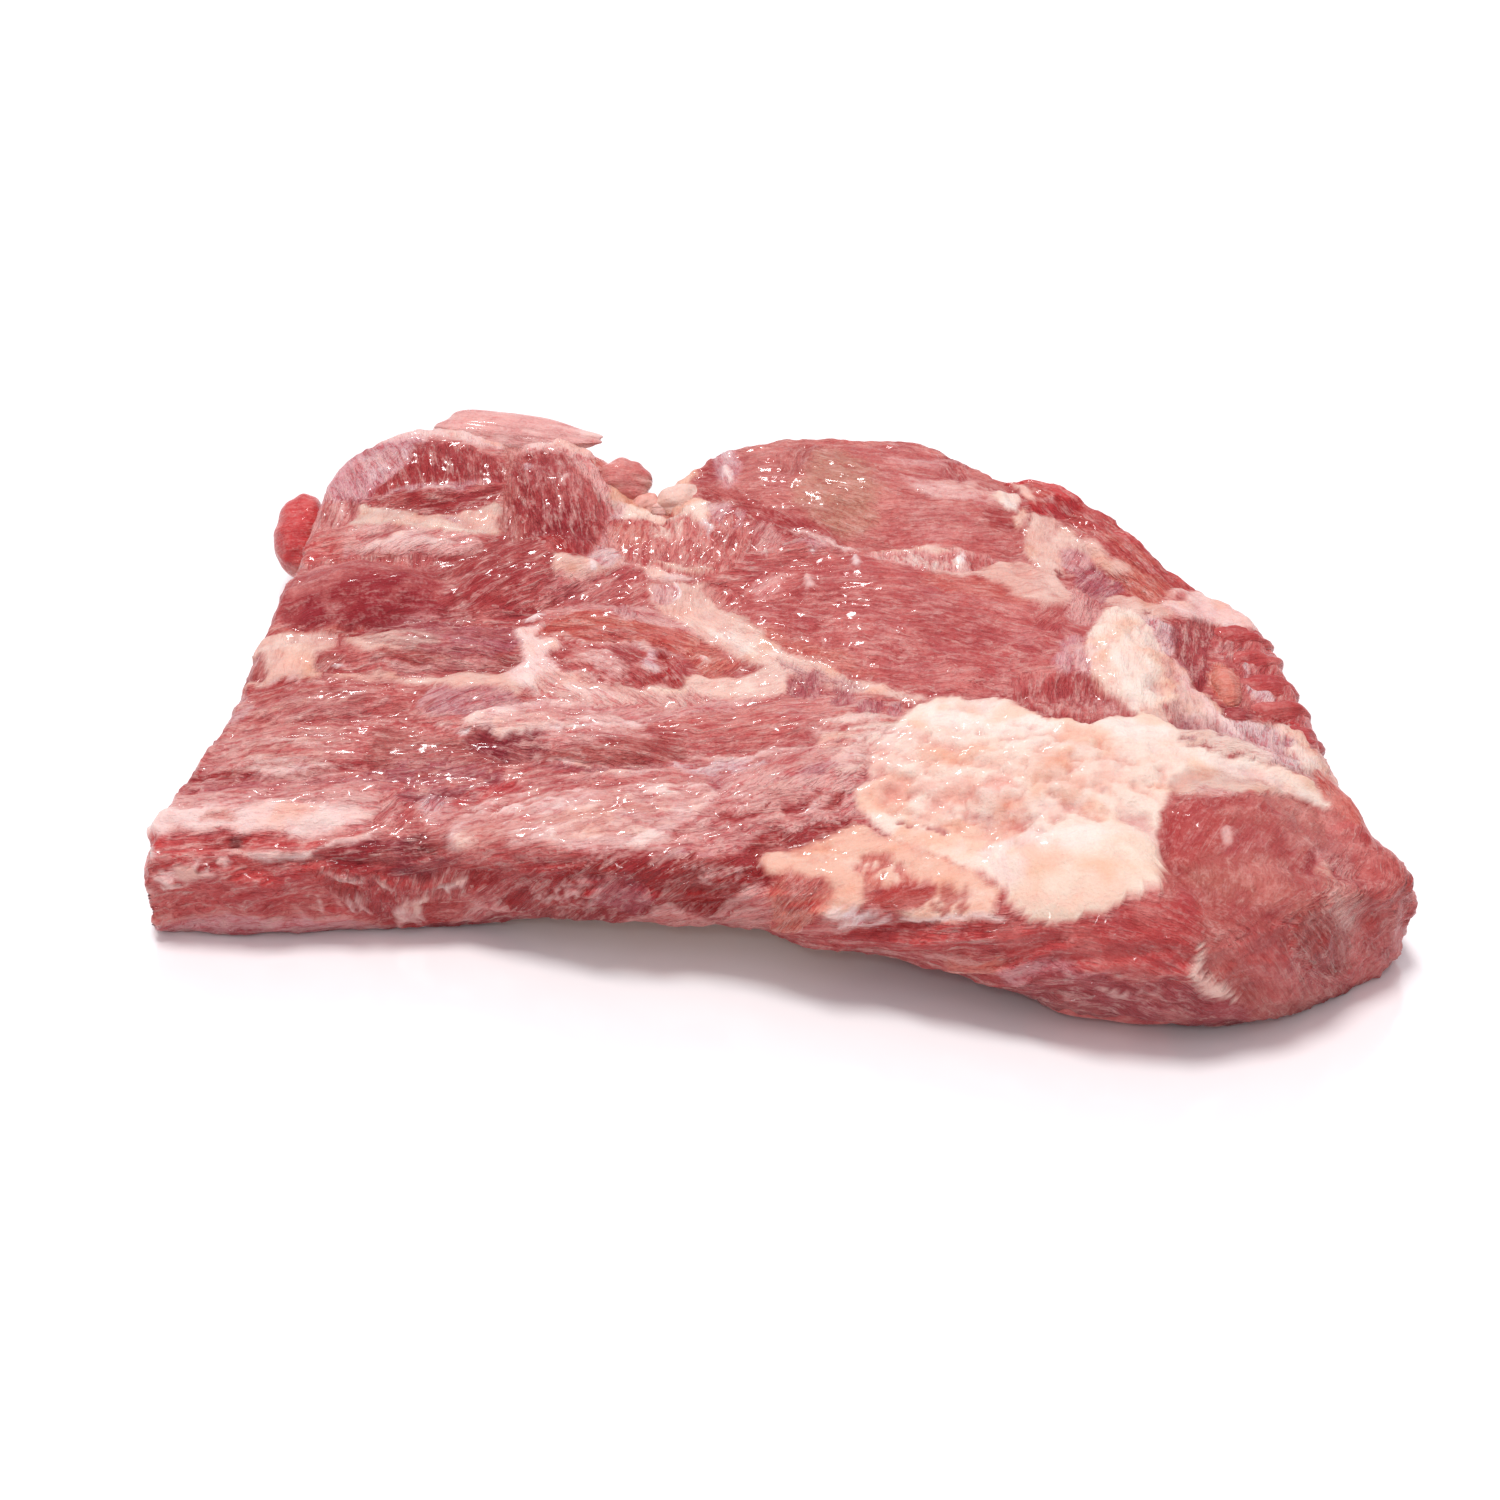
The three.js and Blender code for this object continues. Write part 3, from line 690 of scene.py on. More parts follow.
    area("pale_pink", [(-156, -8), (-138, -7), (-122, -8), (-126, -14), (-142, -16), (-156, -14)],
        5, 3, 0.7, broken=0.35),
    area("pink_white", [(-142, -9), (-124, -9), (-124, -13), (-142, -14)], 4, 3, 0.8, broken=0.6),
    *hatch("muscle", [(-166, -13), (-148, -12), (-130, -12)], [(-160, -19), (-142, -18), (-118, -14)],
        6, 1.8, 0.7, seed=14),
    area("muscle_deep", [(-180, -22), (-160, -20), (-150, -22), (-141, -25), (-152, -26.5), (-180, -27)],
        2, -8),
    area("muscle_deep", [(-147, -20), (-138, -19), (-130, -22), (-124, -24.5), (-134, -25), (-143, -23)],
        2, -12),
    area("muscle_deep", [(-132, -19), (-120, -20), (-112, -18.5), (-118, -22.5), (-127, -22.5)], 2, -4),
    *hatch("pink_white", [(-164, -19), (-144, -18.5), (-126, -18)], [(-152, -25.5), (-134, -26), (-116, -24)],
        6, 1.3, 0.9, seed=15),
    area("purple", [(-170, -27), (-150, -27), (-132, -27), (-114, -25), (-112, -29), (-130, -31), (-150, -31),
        (-170, -31)], 3, 3, 0.6),
    area("brown_red", [(-112, -5), (-105, -4), (-98, -8), (-84, -9), (-76, -14), (-71, -21), (-84, -26),
        (-100, -26), (-112, -24), (-114, -14)], 4, 6, 0.9),
    *hatch("pale_pink", [(-112, -8), (-98, -12), (-80, -14)], [(-112, -24), (-98, -22), (-76, -22)],
        8, 1.1, 0.6, seed=16),
    stroke("muscle_deep", [(-108, -10), (-102, -13), (-96, -12)], 4.0, strength=0.5),
    # Painted highlights: two white glints.
    stroke("white", [(-93, -3.5), (-89.5, -5.5)], 2.0),
    stroke("white", [(-89, -5.5), (-84.5, -7)], 1.5),
    area("vivid", [(-108, 1), (-98, -1), (-88, -3), (-82, -2), (-86, -6), (-98, -6), (-108, -3)],
        3, -8, 0.5, broken=0.3),
    area("purple_dark", [(-86, -9), (-74, -8), (-60, -11), (-60, -18), (-66, -22), (-74, -20), (-80, -15)],
        4, -28),
    area("purple", [(-114, -22), (-96, -18), (-80, -20), (-72, -26), (-76, -33), (-92, -36), (-110, -33)],
        5, 8, 0.75, broken=0.35),
    stroke("purple_dark", [(-102, -32), (-91, -33), (-83, -31)], 4.5, strength=0.8, broken=0.3),
    stroke("purple_dark", [(-79, -25), (-74, -28)], 3.0, strength=0.8),
    area("vivid", [(-90, -37), (-81, -31), (-70, -27.5), (-66, -32), (-70, -36), (-80, -38)],
        3, 30, 0.85, broken=0.25),
    area("violet_white", [(-97, -33), (-88, -35), (-88, -43), (-94, -43)], 4, 60, 0.7),
    stroke("pink_white", [(-92, -43), (-80, -38), (-70, -35), (-58, -33)], 2.2),
    # ---- Near-left shoulder ----
    area("pale_pink", [(-185, -31), (-150, -29), (-120, -28), (-108, -32), (-103, -38), (-110, -47),
        (-125, -49), (-150, -47.5), (-185, -46)], 3, 2),
    area("pink_white", [(-190, -38), (-150, -38), (-128, -38), (-111, -41), (-117, -46), (-135, -49),
        (-155, -46), (-190, -46)], 5, 2),
    area("muscle_pale", [(-152, -34), (-132, -36), (-120, -35), (-110, -31), (-125, -29), (-150, -30)],
        4, 2, 0.8, broken=0.25),
    stroke("salmon", [(-160, -42), (-154, -41), (-151, -43)], 4.0, strength=0.6),
    area("muscle", [(-108, -33), (-100, -34), (-94, -42), (-92, -48), (-104, -48), (-112, -46)],
        4, 50, 0.7, broken=0.3),
    area("vivid", [(-190, -50), (-168, -46), (-150, -48), (-130, -50), (-117, -48.5), (-115, -52),
        (-130, -55), (-150, -54), (-162, -58), (-190, -58)], 3, 2, 0.8, broken=0.15),
    area("blood", [(-162, -47), (-150, -48), (-146, -51), (-150, -54), (-158, -51)], 3, 2, 0.8),
    area("wine", [(-152, -49), (-149, -49), (-148.5, -53), (-151.5, -53)], 2, None, 0.9),
    # ---- Front of the left half ----
    area("muscle_red", [(-240, -62), (-160, -57), (-140, -59), (-125, -58), (-108, -70), (-90, -66),
        (-80, -66), (-70, -72), (-80, -92), (-110, -96), (-150, -96), (-240, -96)], 4, 8),
    area("pink_white", [(-190, -64), (-170, -60), (-157, -57), (-152, -60), (-168, -64), (-188, -68)],
        3, 12, 0.8, broken=0.35),
    stroke("pink_white", [(-153, -54), (-142, -57), (-128, -57), (-119, -52.5), (-108, -49)], 3.0),
    stroke("white", [(-176.5, -52), (-174, -56.5)], 2.2),
    area("purple_dark", [(-127, -56), (-112, -51), (-99, -50), (-92, -47), (-88, -51), (-85, -60), (-91, -66),
        (-104, -66), (-116, -63), (-125, -60)], 4, 6, wet=0.9),
    area("wine", [(-100, -51), (-91, -49), (-88, -55), (-92, -60), (-99, -59)], 5, None, 0.8),
    area("muscle_deep",
        [(-128, -62), (-104, -66), (-84, -63), (-80, -71), (-98, -76), (-112, -82), (-122, -80), (-130, -72)],
        5, 50, 0.8, wet=0.9),
    area("salmon_pink", [(-200, -73), (-170, -72), (-150, -75), (-132, -77), (-122, -84), (-134, -82),
        (-160, -80), (-200, -80)], 4, 4, 0.7),
    # Painted highlights: pinkish-white specular streaks on the wet front face.
    *hatch("pink_white", [(-122, -90), (-117, -82), (-112, -74)], [(-108, -84), (-104, -76), (-97, -68)],
        7, 1.8, 0.75, seed=17),
    *hatch("pink_white", [(-138, -78), (-137, -74), (-136, -70)], [(-118, -80), (-118, -74), (-116, -68)],
        4, 1.6, 0.6, seed=18),
    stroke("pink_white", [(-99, -69), (-92, -71), (-84, -70)], 2.4, strength=0.8, broken=0.4),
    stroke("pink_white", [(-128, -63), (-118, -66), (-106, -68)], 2.2, strength=0.6, broken=0.5),
    area("pale_pink", [(-104, -88), (-94, -82), (-84, -76), (-72, -73), (-66, -78), (-78, -85), (-90, -88)],
        4, 24, 0.7),
    area("violet_pink", [(-240, -78), (-170, -75), (-150, -78), (-130, -80), (-132, -96), (-240, -96)],
        5, 4, 0.7),
    # ---- Pale fibres ----
    area("pink_white", [(-87, -43), (-72, -40), (-58, -37), (-40, -36), (-22, -36), (-11, -38), (-13, -46),
        (-19, -54), (-28, -61), (-45, -64), (-60, -60), (-75, -60), (-87, -57)], 5, 4),
    area("muscle_pale", [(-72, -38), (-50, -34), (-30, -34), (-12, -37), (-18, -45), (-40, -45), (-60, -43)],
        5, 4, 0.7, broken=0.35),
    area("muscle", [(-48, -33), (-38, -32), (-36, -36), (-46, -38)], 3, 4, 0.6),
    *hatch("muscle", [(-66, -48), (-42, -45), (-18, -46)], [(-52, -60), (-34, -58), (-20, -52)],
        11, 1.0, 0.55, seed=19),
    *hatch("peach", [(-76, -50), (-50, -48), (-24, -48)], [(-66, -60), (-42, -60), (-22, -55)],
        5, 2.6, 0.5, seed=20),
    area("peach", [(-86, -51), (-78, -48), (-70, -54), (-72, -60), (-84, -59)], 4, 10, 0.5),
    # ---- Wet dark front of the middle ----
    area("blood_dark", [(-80, -79), (-66, -72), (-50, -69), (-36, -64), (-20, -63), (-9, -66), (2, -60),
        (12, -56), (28, -50), (29.5, -54), (20, -62), (9, -72), (5, -80), (9, -90), (-8, -94), (-30, -96),
        (-50, -97), (-68, -92)], 3, 34, wet=1.0),
    area("muscle_deep",
        [(-84, -70), (-66, -66), (-50, -66), (-36, -62), (-40, -68), (-56, -72), (-70, -76), (-84, -80)],
        4, 20, 0.8, wet=0.9),
    *hatch("pink_white", [(-56, -70), (-46, -64), (-38, -60)], [(-26, -72), (-18, -64), (-8, -58)],
        8, 1.4, 0.7, seed=21),
    area("purple", [(-50, -77), (-37, -74), (-28, -80), (-33, -89), (-46, -85)], 5, 40, 0.55, wet=1.0),
    *hatch("blood", [(-74, -80), (-60, -74), (-48, -70)], [(-66, -90), (-52, -84), (-40, -78)],
        6, 2.6, 0.8, seed=22, wet=1.0),
    *hatch("pink_white", [(-74, -84), (-62, -78), (-50, -72)], [(-56, -92), (-44, -86), (-30, -76)],
        12, 1.0, 0.55, seed=23, broken=0.4),
    area("violet_pink", [(-20, -65), (-12, -66), (-2, -62), (4, -58), (-2, -58), (-12, -61), (-20, -62)],
        3, 30, 0.8, broken=0.3),
    *hatch("pink_white", [(-20, -68), (-17, -74), (-12, -80)], [(-6, -66), (-4, -72), (-2, -78)],
        6, 1.4, 0.6, seed=24, broken=0.3),
    area("muscle_pale", [(-46, -98), (-32, -91), (-24, -86), (-16, -87), (-8, -92), (-2, -86), (4, -79),
        (8, -82), (7, -92), (12, -106), (-10, -104), (-46, -104)], 4, 20),
    stroke("pale_pink", [(-30, -90), (-24, -86.5), (-18, -87.5)], 2.4, strength=0.8),
    stroke("pale_pink", [(4, -76), (-2, -83), (-10, -90)], 4.0, strength=0.7),
    # ---- Purple-streaked centre ----
    area("pale_pink", [(-13, -31), (0, -28), (14, -22), (30, -20), (37, -30), (34, -42), (30, -50), (16, -54),
        (4, -60), (-10, -64), (-22, -59), (-13, -48), (-9, -38)], 5, 36),
    area("muscle_pale", [(2, -28), (14, -24), (24, -26), (20, -34), (8, -36)], 5, 30, 0.8),
    *hatch("muscle", [(-12, -48), (2, -43), (14, -39)], [(-12, -62), (4, -56), (22, -50)],
        13, 1.3, 0.8, seed=25),
    *hatch("pink_white", [(-8, -44), (6, -41), (18, -37)], [(-6, -60), (8, -54), (28, -48)],
        10, 1.0, 0.8, seed=26),
    area("muscle_deep", [(9, -50), (14, -46), (20, -42.5), (19, -46), (14, -50), (11, -51.5)], 1.6, 40),
    area("muscle_deep", [(21, -48), (25, -43), (29, -41), (28, -44), (24, -47.5)], 1.6, 45),
    area("muscle_deep", [(-9, -49), (-2, -50.5), (6, -47), (4, -49.5), (-3, -52.5), (-9, -51.5)], 1.4, 20),
    area("muscle_deep", [(2, -58), (8, -55), (12, -56), (20, -53), (28, -51), (29, -54), (20, -57), (10, -61),
        (4, -64), (0, -62)], 2, 30, wet=1.0),
    area("blood_dark", [(0, -61), (8, -60), (10, -66), (8, -72), (2, -72), (-1, -66)], 3, 60, 0.9, wet=1.0),
    stroke("purple_pale", [(12, -37.5), (20, -34), (28, -32)], 4.6),
    stroke("purple", [(14, -37), (20, -35.5), (24, -35)], 2.0, strength=0.7),
    area("violet_white", [(-22, -27), (-8, -23.5), (0, -23.5), (4, -27), (-4, -30), (-14, -30)],
        3, 16, 0.9, broken=0.1),
    stroke("purple", [(-10, -32), (-10, -39)], 3.6, strength=0.6),
    # ---- Pink plane and its red band ----
    area("salmon_pink", [(-35, -8), (-20, -3), (0, 1), (20, 2), (34, 1), (46, -2), (53, -8), (54, -13),
        (30, -18), (10, -20), (-10, -22), (-22, -19), (-35, -14)], 3, 9),
    area("pale_pink", [(2, 0), (30, 2), (42, -5), (34, -12), (12, -8)], 6, 9, 0.6, broken=0.4),
    *hatch("muscle", [(-32, -9), (0, -4), (40, -5)], [(-30, -16), (0, -18), (44, -12)], 9, 1.2, 0.5, seed=27),
    area("muscle", [(-21, -17), (-6, -18.5), (8, -17.5), (22, -15.5), (34, -15), (24, -17.5), (8, -20.5),
        (-8, -22)], 2.5, 7, 0.9),
    stroke("orange_red", [(36, -14), (46, -11.5), (54, -9.5)], 3.0, strength=0.8),
    stroke("pink_white", [(-18, -22), (0, -22.5), (20, -20), (36, -16)], 1.6, strength=0.8),
    area("muscle_deep", [(-34, -12), (-26, -10), (-20, -14), (-24, -19), (-32, -17)], 4, -12, 0.5),
    # ---- Muted lobe ----
    area("brown_red", [(-64, -20), (-50, -17), (-36, -14), (-24, -16), (-19, -20), (-21, -25), (-34, -28),
        (-48, -27), (-62, -23)], 3, -9),
    area("pale_pink", [(-64, -12), (-48, -11.5), (-34, -11.5), (-27, -15), (-40, -17.5), (-58, -18)],
        3, -9, 0.8),
    stroke("pale_pink", [(-60, -19), (-50, -19), (-42, -17)], 2.6, strength=0.6, broken=0.3),
    stroke("purple", [(-66, -22), (-52, -26), (-38, -28), (-25, -27)], 2.2, strength=0.8),
    stroke("pink_white", [(-66, -20), (-54, -24.5), (-40, -27)], 1.2),
    stroke("pink_white", [(-60, -28), (-40, -30), (-22, -29)], 2.6, strength=0.7),
    # ---- Pale ridge ----
    area("pink_white",
        [(-86, -3), (-72, 4), (-60, 7), (-48, 3), (-38, -3), (-31, -8), (-40, -10), (-56, -9.5), (-74, -9)],
        3, -9),
    stroke("white", [(-82, -7), (-64, -9), (-46, -9.5)], 1.8, strength=0.6),
    stroke("salmon", [(-64, 2), (-56, 0), (-50, -4)], 3.0, strength=0.5),
    area("pale_pink",
        [(-48, 10), (-34, 10), (-20, 12), (-8, 8), (2, 5), (-16, -1), (-24, -5), (-36, -5), (-48, 1)], 4, 18),
    *hatch("salmon", [(-46, 8), (-36, 2), (-28, -4)], [(-26, 9), (-20, 4), (-16, 0)], 5, 1.6, 0.6, seed=28),
    # ---- Middle: cream field, striped red, orange lobe ----
    area("peach_pink", [(-60, 20), (-46, 15), (-34, 11), (-20, 11), (-14, 14), (-10, 9), (-20, 3), (-36, 3),
        (-50, 3), (-62, 8), (-66, 14)], 4, -40),
    *hatch("muscle_pale", [(-66, 28), (-54, 14), (-42, 4)], [(-58, 20), (-40, 12), (-26, 4)],
        9, 1.2, 0.6, seed=29),
    *hatch("pink_white", [(-68, 24), (-56, 12), (-44, 3)], [(-60, 18), (-42, 10), (-28, 3)],
        8, 1.4, 0.7, seed=30),
    area("pale_pink", [(-67, 51), (-58, 54), (-44, 55), (-30, 53), (-20, 47), (-15, 38), (-22, 36), (-36, 42),
        (-50, 46), (-63, 44)], 3, -14),
    area("purple_pale", [(-44, 54), (-38, 54), (-35, 44), (-42, 45)], 3, 90, 0.6),
    area("muscle", [(-65, 50), (-59, 50), (-57, 45), (-62, 43), (-66, 46)], 2.5, None, 0.7),
    area("orange_red", [(-65, 40), (-58, 46), (-50, 48), (-40, 43), (-26, 42), (-16, 37), (-19, 32),
        (-32, 31), (-44, 32), (-56, 34), (-63, 37)], 3, -12),
    *hatch("salmon", [(-62, 42), (-46, 44), (-22, 40)], [(-60, 36), (-40, 33), (-22, 33)],
        5, 1.5, 0.6, seed=31),
    stroke("muscle", [(-50, 38), (-38, 36), (-26, 34)], 3.0, strength=0.6),
    stroke("pink_white", [(-64, 38), (-50, 33.5), (-38, 31), (-28, 30), (-20, 31)], 1.8, strength=0.8),
    area("muscle", [(-62, 30), (-50, 33), (-40, 31), (-32, 29), (-29, 22), (-30, 15), (-25, 11.5), (-34, 12),
        (-46, 16), (-57, 22)], 2.5, -36),
    *hatch("pink_white", [(-61, 29), (-48, 20), (-34, 12.5)], [(-51, 33), (-42, 26), (-33, 20)],
        8, 1.1, 0.75, seed=32),
    area("muscle_deep", [(-43, 29), (-35, 29.5), (-33, 22), (-39, 20)], 3, -36, 0.8),
    area("blood", [(-31, 29), (-24, 30), (-21, 23), (-17, 16), (-20, 11), (-30, 11.5), (-34, 13), (-28, 16),
        (-25, 20), (-28, 25)], 2, -60, wet=0.9),
    area("violet_white", [(-31, 30), (-28, 29), (-29.5, 23), (-27, 19), (-30, 16), (-32, 20)],
        1.6, None, 0.9),
    stroke("pink_white", [(-30, 17), (-27, 14), (-24, 14)], 3.0, strength=0.7, broken=0.5),
    stroke("cream", [(-17, 18), (-19, 11), (-26, 9.5), (-38, 10.5), (-50, 15), (-60, 22)], 1.8, strength=0.8),
    stroke("white", [(-69, 46), (-65.5, 50.5)], 2.2),
    area("membrane", [(-30, 67), (-20, 67), (-12, 65), (-8, 56), (-12, 48), (-20, 45), (-27, 49), (-31, 56)],
        4, 84),
    area("violet_pink", [(-30, 66), (-24, 66), (-24, 56), (-30, 55)], 3, 88, 0.6),
    stroke("white", [(-23.3, 67), (-23.3, 56)], 1.5, strength=0.8),
    area("salmon_pink", [(-14, 65), (-5, 61), (-4, 50), (-9, 46), (-11, 55)], 4, 60, 0.8),
    # ---- Cream diagonal ----
    area("cream_pink", [(-22, 46), (-12, 54), (-5, 51), (-1, 43), (7, 35), (15, 28), (23, 22), (31, 12),
        (41, 8), (52, 3), (50, 0), (38, 3), (26, 8), (18, 15), (8, 19), (0, 25), (-8, 33), (-16, 39)],
        4, -42),
    stroke("grey_cream", [(-6, 52), (0, 44), (7, 36), (15, 30)], 4.5, strength=0.7),
    stroke("cream_white", [(-14, 44), (-6, 38), (2, 30), (10, 26)], 4.0, strength=0.8),
    stroke("purple_pale", [(7, 25), (16, 18), (26, 12), (35, 7)], 2.6, strength=0.8),
    stroke("purple", [(18, 15), (24, 11), (28, 10)], 1.6, strength=0.5),
    area("salmon", [(-18, 38), (-10, 34), (-11, 27), (-20, 29)], 3, None, 0.8),
    area("salmon", [(-17, 30), (-8, 30), (-4, 26), (-6, 18), (-12, 17), (-18, 22)], 4, 50, 0.9),
    stroke("pink_white", [(-15, 28), (-11, 26)], 2.2, strength=0.8),
    area("cream_pink", [(-18, 18), (-4, 18), (6, 22), (12, 16), (13, 8), (2, 6), (-10, 8), (-17, 12)], 4, 20),
    area("purple", [(12, 14), (19, 16), (23, 9), (20, 3), (13, 4)], 2.5, 90, 0.8, broken=0.1),
    area("purple", [(25, 8), (30, 8), (31, -3), (25, -3)], 2.5, 85, 0.75, broken=0.1),
    area("purple", [(32, -1), (38, -1), (38.5, -8), (33, -8)], 2.2, 85, 0.8),
    area("purple_pale", [(41, -1), (45, -1), (45.5, -7.5), (41, -7.5)], 2.2, 85, 0.9),
    # ---- Far dome ----
    area("dome_red", [(-20, 118), (-16, 132), (-8, 142), (10, 170), (30, 170), (50, 160), (64, 140),
        (80, 122), (84, 108), (88, 98), (88, 88), (80, 76), (60, 74), (36, 74), (24, 82), (8, 92), (-2, 100),
        (-9, 108)], 3, -14, coarse=0.6),
    area("muscle_deep", [(-18, 122), (-14, 134), (-10, 136), (-8, 122), (-4, 112), (2, 104), (10, 96),
        (22, 88), (31, 80), (26, 77), (14, 84), (2, 94), (-6, 104), (-13, 110)], 4, -40, 0.75),
    # Painted highlight: a violet-white sheen and a white glint on the dome's far-left slope.
    area("violet_pink", [(-13, 138), (-5, 138), (-3, 126), (-4, 116), (-9, 116)], 4, 98, 0.8),
    area("violet_white", [(-12, 138), (-6, 138), (-5, 126), (-5.5, 117), (-8.5, 120)],
        3, 98, 0.8, broken=0.2),
    stroke("white", [(-8.5, 129), (-7, 123), (-6, 117)], 1.6, strength=0.8),
    area("brown_red", [(8, 131), (16, 136), (24, 133), (24, 124), (20, 115), (12, 117), (8, 123)],
        7, 80, 0.9),
    area("tan", [(22, 131), (34, 129), (40, 116), (43, 104), (41, 92), (34, 83), (27, 84), (18, 94),
        (14, 106), (18, 116)], 9, -30),
    area("olive_brown", [(25, 100), (36, 101), (39, 91), (33, 84), (24, 89)], 9, -30, 0.4),
    area("dome_red", [(44, 98), (60, 101), (74, 97), (84, 93), (86, 84), (76, 77), (56, 75), (42, 78),
        (40, 88)], 5, 6),
    area("muscle", [(42, 86), (58, 88), (74, 84), (84, 86), (80, 79), (62, 76), (46, 77)], 5, 4, 0.8),
    *hatch("pink_white", [(42, 117), (58, 110), (78, 112)], [(46, 104), (64, 100), (86, 103)],
        11, 1.3, 0.75, seed=33),
    *hatch("muscle", [(26, 118), (40, 110), (56, 100)], [(40, 122), (54, 114), (72, 106)],
        8, 1.5, 0.5, seed=34),
    area("pale_pink", [(54, 112), (66, 105), (84, 107), (86, 101), (72, 98), (58, 101)],
        5, 8, 0.7, broken=0.25),
    area("muscle_deep", [(63, 130), (71, 124), (69, 110), (64, 111), (61, 118)], 3, 100, 0.75),
    area("muscle", [(30, 132), (44, 134), (58, 134), (60, 124), (46, 120), (36, 122)],
        5, -20, 0.7, broken=0.2),
    area("pale_pink", [(44, 124), (56, 124), (66, 126), (64, 119), (52, 119)], 4, -20, 0.7, broken=0.2),
    area("muscle_deep", [(74, 96), (84, 98), (86, 90), (80, 87), (75, 90)], 3, 10, 0.75),
    stroke("pink_white", [(11, 89), (20, 84), (28, 79), (35, 75.5)], 2.2, strength=0.75),
    stroke("violet_pink", [(8, 84), (18, 82), (27, 77.5)], 2.0, strength=0.8),
    stroke("muscle_deep", [(2, 100), (10, 94), (20, 88), (30, 80)], 3.0, strength=0.7),
    area("pale_pink", [(1, 91), (7, 91), (10, 83), (4, 79), (1, 83)], 3, 60, 0.7),
    # Painted highlights: two white glints.
    stroke("white", [(4, 80), (6, 78)], 1.5),
    stroke("white", [(20, 79), (21.5, 77.5)], 1.4),
    *hatch("pale_pink", [(44, 96), (60, 98), (78, 95)], [(46, 78), (62, 79), (82, 82)],
        12, 0.9, 0.5, seed=35),
    # ---- Tendon band ----
    area("pale_pink", [(38, 75), (68, 75.5), (80, 71), (82, 62), (68, 60), (54, 60), (44, 63), (38, 68)],
        2.5, 88),
    *hatch("cream_white", [(45, 74), (46, 68), (49, 61)], [(68, 74), (67.5, 68), (66, 62)],
        9, 1.5, 0.95, seed=36),
    *hatch("muscle", [(42, 73), (44, 68), (46, 62)], [(66, 73), (65, 68), (63, 60)], 6, 1.1, 0.7, seed=37),
    stroke("white", [(66.4, 74), (66.4, 65)], 2.4),
    area("muscle", [(69, 74), (79, 70), (79, 61), (69, 61)], 2.5, 88),
    stroke("pink_white", [(79.5, 70), (80, 62)], 2.2),
    stroke("cream_pink", [(38, 75.5), (54, 75.8), (69, 75.8)], 1.4, strength=0.9),
    # ---- Main muscle ----
    area("muscle", [(-3, 62), (10, 72), (30, 76), (42, 70), (56, 61), (74, 58), (90, 50), (100, 44),
        (105, 34), (100, 22), (92, 12), (84, 3), (60, 0.5), (51, 2), (40, 8), (30, 14), (20, 22), (9, 32),
        (1, 42)], 3.5, -14, coarse=0.7),
    area("muscle_deep", [(8, 56), (20, 60), (30, 52), (24, 38), (13, 34), (8, 44)], 9, -30, 0.5),
    area("muscle_deep", [(50, 37), (66, 40), (77, 31), (71, 19), (56, 22)], 9, -14, 0.45),
    area("muscle_deep", [(88, 48), (99, 44), (94, 30), (86, 34)], 8, 60, 0.35),
    area("orange_red", [(56, 61), (74, 58), (88, 50), (82, 44), (66, 48), (53, 52)], 6, -6, 0.8),
    area("muscle_pale", [(26, 36), (44, 33), (56, 22), (46, 13), (30, 17), (20, 25)],
        8, -24, 0.7, broken=0.4),
    area("muscle_pale", [(78, 32), (92, 25), (94, 12), (84, 8), (74, 18)], 8, 20, 0.7, broken=0.4),
    area("muscle_pale", [(48, 16), (70, 14), (86, 6), (70, 2), (54, 4)], 5, 0, 0.6, broken=0.3),
    *hatch("muscle_deep", [(8, 60), (24, 48), (40, 36)], [(40, 56), (60, 44), (84, 34)],
        10, 2.4, 0.35, seed=38),
    *hatch("pale_pink", [(18, 42), (30, 34), (46, 26)], [(56, 56), (76, 46), (96, 38)],
        12, 1.0, 0.4, seed=39, broken=0.4),
    stroke("pink_white", [(18, 68), (18, 55)], 1.8, strength=0.7),
    stroke("white", [(33, 74), (33, 64)], 2.2, strength=0.8),
    area("pale_pink", [(0, 65), (5, 69), (11, 67), (8, 60), (1, 59)], 3, 50, 0.8, broken=0.2),
    stroke("salmon", [(-1, 46), (8, 35), (18, 26.5), (28, 19), (40, 11)], 5.0, strength=0.6),
    area("violet_pink", [(93, 25), (100, 29), (105, 22), (103, 12), (96, 11), (92, 18)],
        4, 80, 0.9, broken=0.15),
    area("muscle_deep", [(79, 1), (91, 8), (100, 13), (105, 8), (108, 0), (114, -8), (112, -12), (104, -14),
        (100, -17), (94, -14), (86, -10), (78, -4)], 2.5, 76, 0.95),
    area("muscle", [(78, -1), (92, 1), (106, -2), (113, -9), (104, -13), (92, -8)], 4, 76, 0.7),
    stroke("muscle", [(84, 2), (92, 0), (100, 1)], 3.0, strength=0.7),
    # ---- Far-right membrane and vivid lobes ----
    area("membrane", [(80, 71), (88, 70), (92, 64), (97, 60), (99, 50), (90, 45), (80, 53), (70, 60),
        (60, 60), (58, 62), (70, 62)], 4, 10, 0.9),
    area("membrane", [(89, 98), (96, 96), (101, 88), (106, 80), (110, 73), (108, 66), (100, 70), (94, 62),
        (88, 74), (87, 88)], 3, 86),
    area("cream_pink", [(90, 96), (97, 92), (98, 80), (92, 76), (89, 86)], 5, 86, 0.5),
    area("vivid", [(82, 128), (94, 124), (106, 112), (116, 104), (112, 94), (106, 90), (100, 96), (92, 98),
        (88, 104), (86, 112)], 2.5, -48),
    area("orange_red", [(86, 116), (93, 112), (97, 103), (90, 103)], 4, -50, 0.7),
    stroke("cream_pink", [(86, 119), (88, 109), (91, 102)], 3.2),
    stroke("pale_pink", [(91, 104), (97, 103), (104, 98)], 1.6, strength=0.8),
